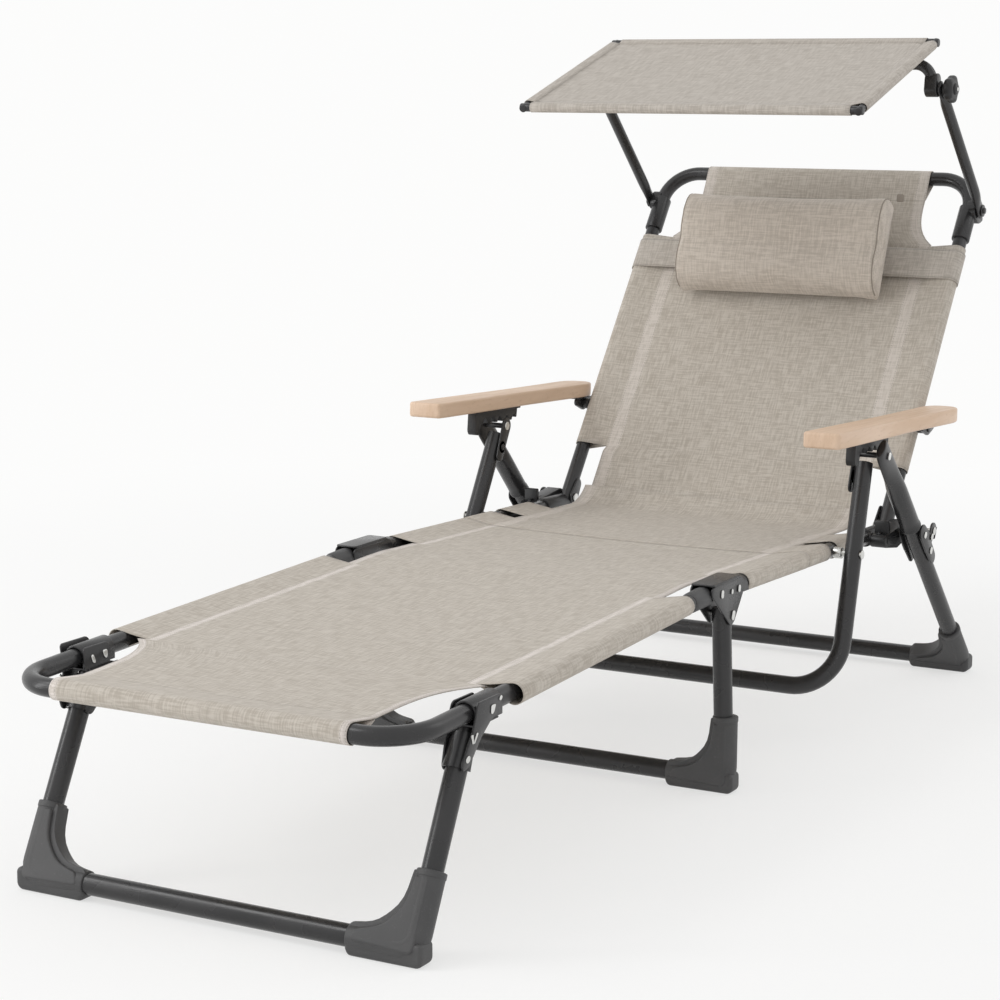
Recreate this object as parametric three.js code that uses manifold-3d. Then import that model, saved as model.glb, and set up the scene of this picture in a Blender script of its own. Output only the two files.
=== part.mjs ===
import * as THREE from 'three';
import * as BufferGeometryUtils from 'three/addons/utils/BufferGeometryUtils.js';
import Module from 'manifold-3d';

// Bed rails and the foot loop
const railRadius = 11;
const railWall = 1.5;
const railHalfWidth = 268;
const footInset = 6;
const frontBarHeight = 247.6;
const footLength = 735;
const footRise = 1.6;
const seatFall = 1.9;
const seatLength = 602;
const railBend = 60;

// Leg frames
const legRadius = 12.5;
const legWall = 1.5;
const legBarHeight = 18;
const legBend = 42;
const frontLegInset = 7;
const frontPivotBack = 130;
const frontPivotDrop = 27;
const frontBarBack = 24;
const middlePivotBack = 35;
const middlePivotDrop = 33;
const middleBarAhead = 4;
const middleLegSplay = 9;

// Rear stand
const supportTopSpread = 31;
const supportBottomSpread = 51;
const crossingAlong = 395.5;
const supportBarAhead = 81.5;
const supportBarHeight = 76.6;
const supportBend = 66;
const apexBack = 63;
const apexRise = 132.5;
const supportTubeEndDrop = 20;
const rearLegClearance = 0.7;
const rearBarBack = 357;
const sleeveWall = 2;
const sleeveLength = 168;
const sleeveFlatRun = 26;
const sleeveRoundRun = 74;
const sleeveTopRadius = 19;
const sleeveFlatShare = 0.42;
const sleeveWideShare = 1.38;

// Backrest
const backHingeGap = 24;
const backHingeRise = 5.5;
const backAngle = 52.9;
const backLength = 627;
const backBend = 54;
const pivotSleeveLow = 512;
const pivotSleeveHigh = 572;
const canopyPivotAlong = 569;

// Armrests and racks
const armPivotAlong = 171.5;
const armSpacing = 16;
const armWidth = 55;
const armFrontAhead = 202;
const armRearBack = 303;
const armThickness = 22;
const armUnderRise = 26.5;
const armTilt = 2.6;
const rackHalfThickness = 7;
const rackInset = 21;
const rackFrontAhead = 72;
const rackRearBack = 74;
const rackDepth = 34;
const toothDepth = 9;
const toothCount = 5;

// Canopy
const canopyArmSpacing = 20;
const canopyArmRadius = 8.5;
const canopyArmLength = 276;
const canopyArmLean = 45.9;
const bossHalfThickness = 3.5;
const bossRadius = 12;
const knobRadius = 21;
const knobThickness = 17;
const yokeInset = 15;
const yokeRise = 37;
const yokeBend = 26;
const canopySpread = 1;
const canopyDepth = 322;
const canopySlope = 17.45;
const canopyRearBack = 22;
const canopyRearRise = 69;
const rimRadius = 6;

// Fixings and clearances
const gap = 0.3;
const pinGap = 0.4;
const overrun = 40;
const pinRadius = 5;
const rivetRadius = 3.4;
const headRadius = 7;
const headHeight = 2.4;
const plate = 2.6;
const saddleGap = 0.9;
const bootWall = 4.2;
const bootRise = 82;
const bootReach = 82;

// Cloth
const cloth = 1.5;
const seamInset = 44;
const seamLift = 5;
const sheetFrontInset = 66;
const sheetBackInset = 73;
const sleeveFrontBack = 208;
const sleeveEndAhead = 76;
const seatSleeveStart = 96;
const seatSleeveEnd = 500;
const seatSheetEnd = 582;
const backSleeveLow = 94;
const backSleeveHigh = 495;

// Headrest
const strapLow = 416;
const strapHigh = 485;
const strapGap = 0.3;
const pillowLow = 393;
const pillowHigh = 561;
const pillowHalfWidth = 177;
const pillowDepth = 84;
const pillowEdge = 14;

const wasm = await Module();
wasm.setup();

// Lanes across the part, each set from the rails by its own clearance
const footHalfWidth = railHalfWidth - footInset;
const frontLegHalfWidth = footHalfWidth - frontLegInset;
const supportTopHalfWidth = railHalfWidth + supportTopSpread;
const supportBottomHalfWidth = railHalfWidth + supportBottomSpread;
const sleeveOuter = legRadius + gap + sleeveWall;
const rearLegHalfWidth = supportTopHalfWidth + legRadius + rearLegClearance + sleeveOuter;
const armInner = railHalfWidth + armSpacing;
const armOuter = armInner + armWidth;
const rackLane = armInner + rackInset;
const canopyArmLane = railHalfWidth + canopyArmSpacing;
const canopyHalfWidth = railHalfWidth + canopySpread;
const sheetFrontHalfWidth = footHalfWidth - sheetFrontInset;
const sheetBackHalfWidth = railHalfWidth - sheetBackInset;

const radians = THREE.MathUtils.degToRad;
const vec = (x, y, z) => new THREE.Vector3(x, y, z);

// Boolean helpers
function solid(geometry) {
  const bare = geometry.index ? geometry.toNonIndexed() : geometry.clone();
  bare.deleteAttribute('normal');
  bare.deleteAttribute('uv');
  const merged = BufferGeometryUtils.mergeVertices(bare);
  const mesh = new wasm.Mesh({
    numProp: 3,
    vertProperties: new Float32Array(merged.attributes.position.array),
    triVerts: new Uint32Array(merged.index.array),
  });
  return new wasm.Manifold(mesh);
}

function surface(body) {
  const mesh = body.getMesh();
  const geometry = new THREE.BufferGeometry();
  geometry.setAttribute('position', new THREE.BufferAttribute(mesh.vertProperties, 3));
  geometry.setIndex(new THREE.BufferAttribute(mesh.triVerts, 1));
  const faceted = geometry.toNonIndexed();
  faceted.computeVertexNormals();
  return faceted;
}

function across(body, side) {
  if (side > 0) return body;
  const mesh = body.getMesh();
  const points = new Float32Array(mesh.vertProperties);
  const order = new Uint32Array(mesh.triVerts);
  for (let i = 0; i < points.length; i += 3) points[i] = -points[i];
  for (let i = 0; i < order.length; i += 3) {
    const first = order[i];
    order[i] = order[i + 1];
    order[i + 1] = first;
  }
  return new wasm.Manifold(new wasm.Mesh({ numProp: 3, vertProperties: points, triVerts: order }));
}

function reshape(body, change) {
  const mesh = body.getMesh();
  const points = new Float32Array(mesh.vertProperties);
  for (let i = 0; i < points.length; i += 3) {
    const moved = change(vec(points[i], points[i + 1], points[i + 2]));
    points[i] = moved.x;
    points[i + 1] = moved.y;
    points[i + 2] = moved.z;
  }
  const order = new Uint32Array(mesh.triVerts);
  return new wasm.Manifold(new wasm.Mesh({ numProp: 3, vertProperties: points, triVerts: order }));
}

function joined(bodies) {
  return bodies.reduce((sum, body) => sum.add(body));
}

// Swept tubes along a path of straight runs and round bends
class BentPath extends THREE.Curve {
  constructor(stations) {
    super();
    this.stations = stations;
  }

  station(t) {
    return this.stations[Math.round(t * (this.stations.length - 1))];
  }

  getPoint(t, target = new THREE.Vector3()) {
    return target.copy(this.station(t).point);
  }

  getPointAt(u, target) {
    return this.getPoint(u, target);
  }

  getTangent(t, target = new THREE.Vector3()) {
    return target.copy(this.station(t).heading);
  }

  getTangentAt(u, target) {
    return this.getTangent(u, target);
  }
}

function bentStations(corners, bend, bendSteps) {
  const stations = [];
  const last = corners.length - 1;
  const start = corners[1].clone().sub(corners[0]).normalize();
  stations.push({ point: corners[0].clone(), heading: start });
  for (let i = 1; i < last; i += 1) {
    const into = corners[i].clone().sub(corners[i - 1]).normalize();
    const out = corners[i + 1].clone().sub(corners[i]).normalize();
    const turn = into.angleTo(out);
    const reach = bend * Math.tan(turn / 2);
    const begin = corners[i].clone().addScaledVector(into, -reach);
    const axis = into.clone().cross(out).normalize();
    const toCentre = axis.clone().cross(into).normalize();
    const centre = begin.clone().addScaledVector(toCentre, bend);
    for (let k = 0; k <= bendSteps; k += 1) {
      const swing = new THREE.Quaternion().setFromAxisAngle(axis, (turn * k) / bendSteps);
      const arm = begin.clone().sub(centre).applyQuaternion(swing);
      const heading = into.clone().applyQuaternion(swing);
      stations.push({ point: centre.clone().add(arm), heading });
    }
  }
  const finish = corners[last].clone().sub(corners[last - 1]).normalize();
  stations.push({ point: corners[last].clone(), heading: finish });
  return stations;
}

function ring(radius, sides, Kind) {
  const outline = new Kind();
  for (let i = 0; i < sides; i += 1) {
    const angle = (Math.PI * 2 * (i + 1 / 2)) / sides;
    const x = radius * Math.cos(angle);
    const y = radius * Math.sin(angle);
    if (i === 0) outline.moveTo(x, y);
    else outline.lineTo(x, y);
  }
  outline.closePath();
  return outline;
}

function tube(corners, bend, radius, wall, sides = 12, bendSteps = 5) {
  const stations = bentStations(corners, bend, bendSteps);
  const section = ring(radius, sides, THREE.Shape);
  if (wall > 0) section.holes.push(ring(radius - wall, sides / 2, THREE.Path));
  const options = {
    steps: stations.length - 1,
    extrudePath: new BentPath(stations),
    bevelEnabled: false,
  };
  return solid(new THREE.ExtrudeGeometry(section, options));
}

function rod(x1, x2, y, z, radius, sides = 10) {
  return tube([vec(x1, y, z), vec(x2, y, z)], 0, radius, 0, sides);
}

function headedPin(x1, x2, y, z, radius, headed = headRadius) {
  const profile = [
    new THREE.Vector2(0, 0),
    new THREE.Vector2(headed * 3 / 5, 0),
    new THREE.Vector2(headed, headHeight),
    new THREE.Vector2(radius, headHeight),
    new THREE.Vector2(radius, x2 - x1 - headHeight),
    new THREE.Vector2(headed, x2 - x1 - headHeight),
    new THREE.Vector2(headed * 3 / 5, x2 - x1),
    new THREE.Vector2(0, x2 - x1),
  ];
  const geometry = new THREE.LatheGeometry(profile, 8);
  geometry.rotateZ(-Math.PI / 2);
  geometry.translate(x1, y, z);
  return solid(geometry);
}

function block(x1, x2, y1, y2, z1, z2) {
  const geometry = new THREE.BoxGeometry(x2 - x1, y2 - y1, z2 - z1);
  geometry.translate((x1 + x2) / 2, (y1 + y2) / 2, (z1 + z2) / 2);
  return solid(geometry);
}

// Flat outlines: corners in the frame's own axes, lifted along the third
function prism(corners, low, high, across1, across2) {
  const outline = new THREE.Shape(corners.map(([a, b]) => new THREE.Vector2(a, b)));
  const geometry = new THREE.ExtrudeGeometry(outline, { depth: high - low, bevelEnabled: false });
  geometry.translate(0, 0, low);
  const up = across1.clone().cross(across2);
  geometry.applyMatrix4(new THREE.Matrix4().makeBasis(across1, across2, up));
  return solid(geometry);
}

const xAxis = vec(1, 0, 0);
const yAxis = vec(0, 1, 0);
const zAxis = vec(0, 0, 1);

function sidePlate(corners, x1, x2) {
  return prism(corners, x1, x2, yAxis, zAxis);
}

// The outline that a band stretched round a set of discs would take
function bandRound(discs, arcSteps = 10) {
  const points = [];
  for (const [a, b, radius] of discs) {
    for (let i = 0; i < arcSteps; i += 1) {
      const angle = (Math.PI * 2 * i) / arcSteps;
      points.push([a + radius * Math.cos(angle), b + radius * Math.sin(angle)]);
    }
  }
  points.sort((p, q) => p[0] - q[0] || p[1] - q[1]);
  const turn = (o, p, q) => (p[0] - o[0]) * (q[1] - o[1]) - (p[1] - o[1]) * (q[0] - o[0]);
  const half = (list) => {
    const chain = [];
    for (const point of list) {
      while (chain.length > 1 && turn(chain[chain.length - 2], chain[chain.length - 1], point) <= 0) {
        chain.pop();
      }
      chain.push(point);
    }
    chain.pop();
    return chain;
  };
  return half(points).concat(half(points.slice().reverse()));
}

// Rounds a tube end about its pivot, on the side that points away from the tube
function roundEnd(body, y, z, radius, alongY, alongZ, x1, x2) {
  const up = vec(0, alongY, alongZ).normalize();
  const side = vec(0, up.z, -up.y);
  const reach = overrun + radius;
  const corners = [[-reach, 0], [reach, 0], [reach, reach], [-reach, reach]];
  const cutter = prism(
    corners.map(([a, b]) => [y + side.y * a + up.y * b, z + side.z * a + up.z * b]),
    x1, x2, yAxis, zAxis,
  );
  return body.subtract(cutter.subtract(rod(x1, x2, y, z, radius, 12)));
}

// Scene tree and finishes
const group = new THREE.Group();
group.name = 'sun_lounger';

const finishes = {
  steel: { color: 0x3b3b3d, roughness: 0.45, metalness: 0.5 },
  boot: { color: 0x444446, roughness: 0.7, metalness: 0 },
  knuckle: { color: 0x262627, roughness: 0.6, metalness: 0 },
  zinc: { color: 0xd8d8d6, roughness: 0.3, metalness: 0.9 },
  sling: { color: 0xbeb5aa, roughness: 0.85, metalness: 0 },
  pillow: { color: 0xa99f95, roughness: 0.9, metalness: 0 },
  wood: { color: 0xe1c8ac, roughness: 0.6, metalness: 0 },
};

function addPart(name, body, finish) {
  const mesh = new THREE.Mesh(surface(body), new THREE.MeshStandardMaterial(finishes[finish]));
  mesh.name = name;
  group.add(mesh);
}

const sides = [['left', 1], ['right', -1]];

// Foot section lines and its hinge
const footSlope = Math.tan(radians(footRise));
const seatSlope = Math.tan(radians(seatFall));
const footHeight = (y) => frontBarHeight + y * footSlope;
const hingeHeight = footHeight(footLength);
const seatHeight = (y) => hingeHeight - (y - footLength) * seatSlope;
const footEdge = (y) => footHalfWidth + ((railHalfWidth - footHalfWidth) * y) / footLength;
const hinge = { y: footLength, z: hingeHeight };
const railEnd = footLength + seatLength;

// Foot loop tube
const footReach = railRadius + gap;
const footCorners = [
  vec(railHalfWidth, footLength + footReach, footHeight(footLength + footReach)),
  vec(footHalfWidth, 0, frontBarHeight),
  vec(-footHalfWidth, 0, frontBarHeight),
  vec(-railHalfWidth, footLength + footReach, footHeight(footLength + footReach)),
];
let footLoop = tube(footCorners, railBend, railRadius, railWall, 12, 6);
footLoop = roundEnd(footLoop, hinge.y, hinge.z, railRadius, 1, footSlope, -railHalfWidth * 2, railHalfWidth * 2);
const hingePinHole = rod(-railHalfWidth * 2, railHalfWidth * 2, hinge.y, hinge.z, pinRadius + pinGap);
footLoop = footLoop.subtract(hingePinHole);

// Front bracket: a saddle over the rail above a channel that holds the leg
const frontPivot = { y: frontPivotBack, z: footHeight(frontPivotBack) - frontPivotDrop };
const frontLegDown = vec(0, frontBarBack - frontPivot.y, legBarHeight - frontPivot.z).normalize();
const frontRail = footEdge(frontPivot.y);
const saddleInner = railRadius + saddleGap;
const saddleOuter = saddleInner + plate;
const saddleFront = frontPivot.y - headRadius * 2;
const saddleRear = frontPivot.y + headRadius * 8;
const saddleDrop = railRadius;
function saddle(lane, y1, y2, height, slope) {
  const steps = 10;
  const arc = (radius, from, to) => {
    const points = [];
    for (let i = 0; i <= steps; i += 1) {
      const angle = from + ((to - from) * i) / steps;
      points.push([lane + radius * Math.cos(angle), height(y1) + radius * Math.sin(angle)]);
    }
    return points;
  };
  const outer = arc(saddleOuter, 0, Math.PI);
  const inner = arc(saddleInner, Math.PI, 0);
  const low = height(y1) - saddleDrop;
  const corners = [[lane + saddleOuter, low], ...outer, [lane - saddleOuter, low]];
  corners.push([lane - saddleInner, low], ...inner, [lane + saddleInner, low]);
  const arch = prism(corners, -y2, -y1, xAxis, zAxis);
  return reshape(arch, (p) => vec(p.x, p.y, p.z + (p.y - y1) * slope));
}

const frontFixings = [
  [frontPivot.y + headRadius * 3, footHeight(frontPivot.y + headRadius * 3)],
  [frontPivot.y + headRadius * 6, footHeight(frontPivot.y + headRadius * 6)],
];
const legInner = frontLegHalfWidth - legRadius - gap;
const legOuter = frontLegHalfWidth + legRadius + gap;
const channelDrop = legRadius * 2 + headRadius;
function frontBracketBody() {
  const arch = saddle(frontRail, saddleFront, saddleRear, footHeight, footSlope);
  const shelfTop = footHeight(saddleFront) - railRadius - gap;
  const shelfLow = shelfTop - plate;
  const shelfEdge = frontRail + saddleOuter;
  const shelf = block(legInner - plate, shelfEdge, saddleFront, saddleRear - headRadius * 2, shelfLow, shelfTop);
  const lugs = [];
  for (const lane of [frontRail - saddleOuter, frontRail + saddleInner]) {
    const top = footHeight(frontPivot.y);
    lugs.push(block(lane, lane + plate, saddleFront, saddleRear - headRadius * 2, shelfLow, top));
  }
  const tip = [
    frontPivot.y + frontLegDown.y * channelDrop,
    frontPivot.z + frontLegDown.z * channelDrop,
  ];
  const cheek = bandRound([
    [frontPivot.y, frontPivot.z, legRadius],
    [tip[0], tip[1], legRadius - plate],
    [saddleFront + headRadius, shelfTop - headRadius, headRadius],
    [saddleRear - headRadius * 3, shelfTop - headRadius, headRadius],
  ]);
  const cheeks = [
    sidePlate(cheek, legInner - plate, legInner),
    sidePlate(cheek, legOuter, legOuter + plate),
  ];
  const webTop = vec(frontLegHalfWidth, frontPivot.y, frontPivot.z);
  const webLow = vec(frontLegHalfWidth, tip[0], tip[1]);
  const sleeve = tube([webTop, webLow], 0, legRadius + gap + plate, 0, 16);
  const bore = tube(
    [webTop.clone().addScaledVector(frontLegDown, -overrun), webLow.clone().addScaledVector(frontLegDown, overrun)],
    0, legRadius + gap * 2, 0, 16,
  );
  const behind = vec(0, -frontLegDown.z, frontLegDown.y);
  const rearCut = [
    [frontPivot.y - frontLegDown.y * overrun, frontPivot.z - frontLegDown.z * overrun],
    [tip[0] + frontLegDown.y * overrun, tip[1] + frontLegDown.z * overrun],
    [tip[0] + frontLegDown.y * overrun + behind.y * overrun, tip[1] + frontLegDown.z * overrun + behind.z * overrun],
    [frontPivot.y - frontLegDown.y * overrun + behind.y * overrun, frontPivot.z + behind.z * overrun],
  ];
  const half = sleeve.subtract(bore).subtract(sidePlate(rearCut, 0, railHalfWidth * 2));
  let body = joined([arch, shelf, ...lugs, ...cheeks, half]);
  const sweep = legRadius + gap * 2;
  body = body.subtract(rod(legInner, legOuter, frontPivot.y, frontPivot.z, sweep, 16));
  const pinHole = rod(0, railHalfWidth * 2, frontPivot.y, frontPivot.z, pinRadius + gap);
  body = body.subtract(pinHole);
  for (const [y, z] of frontFixings) {
    const low = frontRail - saddleOuter - headHeight;
    body = body.add(headedPin(low, frontRail + saddleOuter + headHeight, y, z, rivetRadius, headRadius * 3 / 4));
  }
  return body;
}

for (const [y, z] of frontFixings) {
  const hole = rod(-railHalfWidth * 2, railHalfWidth * 2, y, z, rivetRadius + gap);
  footLoop = footLoop.subtract(hole);
}
addPart('foot_loop_tube', footLoop, 'steel');

// Leg frames: one bent tube each, with round ends at the pivots
function legFrame(pivot, topHalf, bar, bottomHalf, bend, radius, holes) {
  const away = vec(0, pivot.y - bar.y, pivot.z - bar.z).normalize();
  const reach = radius + gap;
  const top = { y: pivot.y + away.y * reach, z: pivot.z + away.z * reach };
  const corners = [
    vec(topHalf, top.y, top.z),
    vec(bottomHalf, bar.y, bar.z),
    vec(-bottomHalf, bar.y, bar.z),
    vec(-topHalf, top.y, top.z),
  ];
  let body = tube(corners, bend, radius, legWall);
  const wide = topHalf * 2;
  body = roundEnd(body, pivot.y, pivot.z, radius, away.y, away.z, -wide, wide);
  for (const [y, z, r] of holes) body = body.subtract(rod(-wide, wide, y, z, r + pinGap));
  return { body, corners };
}

// A boot covers a frame's bottom corner, with its sole flat on the floor
function boot(corners, bend, bar, away, bottomHalf, legReach, barReach) {
  const radius = legRadius + bootWall;
  const out = bottomHalf + radius;
  const low = -legBarHeight * 2;
  const outline = [
    [out - radius / 2, low],
    [out, low],
    [out, -radius / 2],
    [out, legReach],
    [out - radius * 2, legReach],
    [out - radius * 2, legReach * 3 / 5],
  ];
  const curveSteps = 6;
  const bendIn = legReach * 3 / 5 - radius;
  for (let i = 1; i <= curveSteps; i += 1) {
    const angle = (Math.PI / 2) * (i / curveSteps);
    outline.push([
      out - radius * 2 - bendIn * (1 - Math.cos(angle)),
      radius + bendIn * (1 - Math.sin(angle)),
    ]);
  }
  outline.push([bottomHalf - barReach, radius], [bottomHalf - barReach, low]);
  const geometry = new THREE.ExtrudeGeometry(
    new THREE.Shape(outline.map(([a, b]) => new THREE.Vector2(a, b))),
    {
      depth: radius * 2 - bootWall,
      bevelEnabled: true,
      bevelThickness: bootWall / 2,
      bevelSize: bootWall / 2,
      bevelOffset: -bootWall / 2,
      bevelSegments: 1,
    },
  );
  geometry.translate(0, 0, -(radius - bootWall / 2));
  const normal = xAxis.clone().cross(away);
  const place = new THREE.Matrix4().makeBasis(xAxis, away, normal);
  place.setPosition(0, bar.y, bar.z);
  geometry.applyMatrix4(place);
  const floorCut = block(0, out * 2, bar.y - out, bar.y + out, -out, 0);
  const core = tube(corners, bend, legRadius + gap, 0, 12);
  const hull = bandRound([
    [bar.y, bar.z, radius],
    [bar.y + away.y * (legReach + overrun), bar.z + away.z * (legReach + overrun), radius],
    [bar.y - radius / 2, bootWall, bootWall],
    [bar.y + radius / 2, bootWall, bootWall],
  ]);
  const body = solid(geometry).intersect(sidePlate(hull, 0, out * 2));
  return body.subtract(floorCut).subtract(core);
}

const frontBar = { y: frontBarBack, z: legBarHeight };
const frontPin = [frontPivot.y, frontPivot.z, pinRadius];
const frontLegs = legFrame(frontPivot, frontLegHalfWidth, frontBar, frontLegHalfWidth, legBend, legRadius, [frontPin]);
addPart('front_leg_frame', frontLegs.body, 'steel');
const frontAway = frontLegDown.clone().negate();

// Middle bracket: a channel over the hinge, its cheeks tapering to the leg pivot
const middlePivot = { y: footLength + middlePivotBack, z: seatHeight(footLength + middlePivotBack) - middlePivotDrop };
const middleBar = { y: middlePivot.y - middleBarAhead, z: legBarHeight };
const cheekInner = railHalfWidth - legRadius - gap * 3;
const cheekOuter = railHalfWidth + legRadius + gap * 3;
const bracketFront = footLength - headRadius * 4;
const bracketRear = footLength + headRadius * 12;
const bracketRise = railRadius + headHeight;
const fixingShares = [0.74, 1.46];
const middleFixings = fixingShares.map((share) => {
  const y = hinge.y + middlePivotBack * share;
  return [y, seatHeight(y)];
});
function middleBracketBody() {
  const top = hinge.z + bracketRise;
  const cheek = bandRound([
    [bracketFront + headRadius, top - headRadius, headRadius],
    [bracketRear - headRadius * 2, top - headRadius * 2, headRadius * 2],
    [middlePivot.y - plate, middlePivot.z, legRadius - plate],
  ]);
  const cheeks = [
    sidePlate(cheek, cheekInner - plate, cheekInner),
    sidePlate(cheek, cheekOuter, cheekOuter + plate),
  ];
  const webRear = bracketRear - headRadius * 2;
  const web = block(cheekInner - plate, cheekOuter + plate, bracketFront + headRadius, webRear, top, top + plate);
  const rims = [cheekInner - plate, cheekOuter].map((low) => {
    return block(low, low + plate, bracketFront + headRadius, webRear, top - headRadius, top + plate);
  });
  let body = joined([...cheeks, web, ...rims]);
  body = body.subtract(rod(0, railHalfWidth * 2, hinge.y, hinge.z, pinRadius + gap));
  body = body.subtract(rod(0, railHalfWidth * 2, middlePivot.y, middlePivot.z, pinRadius + gap));
  for (const [y, z] of middleFixings) {
    const low = cheekInner - plate - headHeight;
    body = body.add(headedPin(low, cheekOuter + plate + headHeight, y, z, rivetRadius, headRadius * 3 / 4));
  }
  return body;
}

const middlePin = [middlePivot.y, middlePivot.z, pinRadius];
const middleBottomHalf = railHalfWidth + middleLegSplay;
const middleLegs = legFrame(middlePivot, railHalfWidth, middleBar, middleBottomHalf, legBend, legRadius, [middlePin]);
addPart('middle_leg_frame', middleLegs.body, 'steel');
const middleAway = vec(0, middlePivot.y - middleBar.y, middlePivot.z - middleBar.z).normalize();

// Rear stand: arm support frame, apex and rear leg frame
const crossing = { y: footLength + crossingAlong, z: seatHeight(footLength + crossingAlong) };
const apex = { y: crossing.y + apexBack, z: crossing.z + apexRise };
const supportBar = { y: crossing.y - supportBarAhead, z: supportBarHeight };
const supportUp = vec(0, apex.y - supportBar.y, apex.z - supportBar.z).normalize();
const supportSpan = Math.hypot(apex.y - supportBar.y, apex.z - supportBar.z);
const supportAt = (t) => supportTopHalfWidth + (supportBottomHalfWidth - supportTopHalfWidth) * (1 - t / supportSpan);
const supportPoint = (t, side) => {
  return vec(side * supportAt(t), supportBar.y + supportUp.y * t, supportBar.z + supportUp.z * t);
};
const supportEnd = supportSpan - supportTubeEndDrop;
let support = tube(
  [supportPoint(supportEnd, 1), supportPoint(0, 1), supportPoint(0, -1), supportPoint(supportEnd, -1)],
  supportBend, legRadius, legWall,
);
const plateRivetDrop = supportTubeEndDrop + headRadius * 2;
const plateRivet = [apex.y - supportUp.y * plateRivetDrop, apex.z - supportUp.z * plateRivetDrop];
support = support.subtract(rod(-railHalfWidth * 2, railHalfWidth * 2, crossing.y, crossing.z, pinRadius + pinGap));
support = support.subtract(rod(-railHalfWidth * 2, railHalfWidth * 2, plateRivet[0], plateRivet[1], rivetRadius + gap));
addPart('arm_support_frame', support, 'steel');

const headPlateOuter = supportAt(supportEnd) - legRadius - gap * 2;
const headPlateInner = headPlateOuter - plate;
const flatHalf = sleeveOuter * sleeveFlatShare;
function supportPlateBody() {
  const outline = bandRound([
    [apex.y, apex.z, legRadius],
    [plateRivet[0], plateRivet[1] - headRadius * 2, legRadius],
  ]);
  let body = sidePlate(outline, headPlateInner, headPlateOuter);
  body = body.subtract(rod(0, railHalfWidth * 2, apex.y, apex.z, pinRadius + gap));
  const start = headPlateInner - headHeight;
  const shank = rod(start, supportTopHalfWidth + legRadius - gap, plateRivet[0], plateRivet[1], rivetRadius);
  const head = rod(start, headPlateInner, plateRivet[0], plateRivet[1], headRadius * 3 / 4);
  return joined([body, shank, head]);
}

const rearBar = { y: apex.y + rearBarBack, z: legBarHeight };
const rearDown = vec(0, rearBar.y - apex.y, rearBar.z - apex.z).normalize();
const rearPoint = (t, x) => vec(x, apex.y + rearDown.y * t, apex.z + rearDown.z * t);
const rearSpan = Math.hypot(rearBar.y - apex.y, rearBar.z - apex.z);
const rearTubeStart = sleeveRoundRun + headRadius;
const rearCorners = [
  rearPoint(rearTubeStart, rearLegHalfWidth),
  rearPoint(rearSpan, rearLegHalfWidth),
  rearPoint(rearSpan, -rearLegHalfWidth),
  rearPoint(rearTubeStart, -rearLegHalfWidth),
];
const backHinge = { y: railEnd + backHingeGap, z: seatHeight(railEnd) + backHingeRise };
const linkTop = rearPoint(sleeveLength + headRadius * 3 / 2, 0);
const linkLow = rearPoint(sleeveLength + headRadius * 10, 0);
const linkMid = rearPoint(sleeveLength + headRadius * 6, 0);
const linkPins = [linkTop, linkLow].map((p) => [p.y, p.z]);
let rearTube = tube(rearCorners, legBend, legRadius, legWall);
for (const [y, z] of linkPins) {
  rearTube = rearTube.subtract(rod(-rearLegHalfWidth * 2, rearLegHalfWidth * 2, y, z, rivetRadius + gap));
}
addPart('rear_leg_frame', rearTube, 'steel');

function sleeveBody() {
  const stations = [];
  const marks = [-sleeveTopRadius, sleeveFlatRun * 3 / 4];
  const steps = 6;
  for (let i = 0; i <= steps; i += 1) marks.push(sleeveFlatRun + ((sleeveRoundRun - sleeveFlatRun) * i) / steps);
  marks.push(sleeveLength);
  for (const t of marks) stations.push({ point: rearPoint(t, rearLegHalfWidth), heading: rearDown });
  const section = ring(sleeveOuter, 14, THREE.Shape);
  section.holes.push(ring(legRadius + gap * 2, 14, THREE.Path));
  const path = new BentPath(stations);
  const straight = solid(new THREE.ExtrudeGeometry(section, {
    steps: stations.length - 1,
    extrudePath: path,
    bevelEnabled: false,
  }));
  const inPlane = vec(0, -rearDown.z, rearDown.y);
  const centre = rearPoint(0, rearLegHalfWidth);
  const pressed = reshape(straight, (p) => {
    const offset = p.clone().sub(centre);
    const t = offset.dot(rearDown);
    const k = THREE.MathUtils.smoothstep(t, sleeveFlatRun, sleeveRoundRun);
    const thin = sleeveFlatShare + (1 - sleeveFlatShare) * k;
    const wide = sleeveWideShare + (1 - sleeveWideShare) * k;
    const w = offset.dot(inPlane);
    const moved = centre.clone().addScaledVector(rearDown, t).addScaledVector(inPlane, w * wide);
    moved.x = rearLegHalfWidth + offset.x * thin;
    return moved;
  });
  const x2 = rearLegHalfWidth * 2;
  const rounded = roundEnd(pressed, apex.y, apex.z, sleeveTopRadius - gap, -rearDown.y, -rearDown.z, 0, x2);
  return rounded.subtract(rod(0, x2, apex.y, apex.z, pinRadius + pinGap));
}

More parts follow.
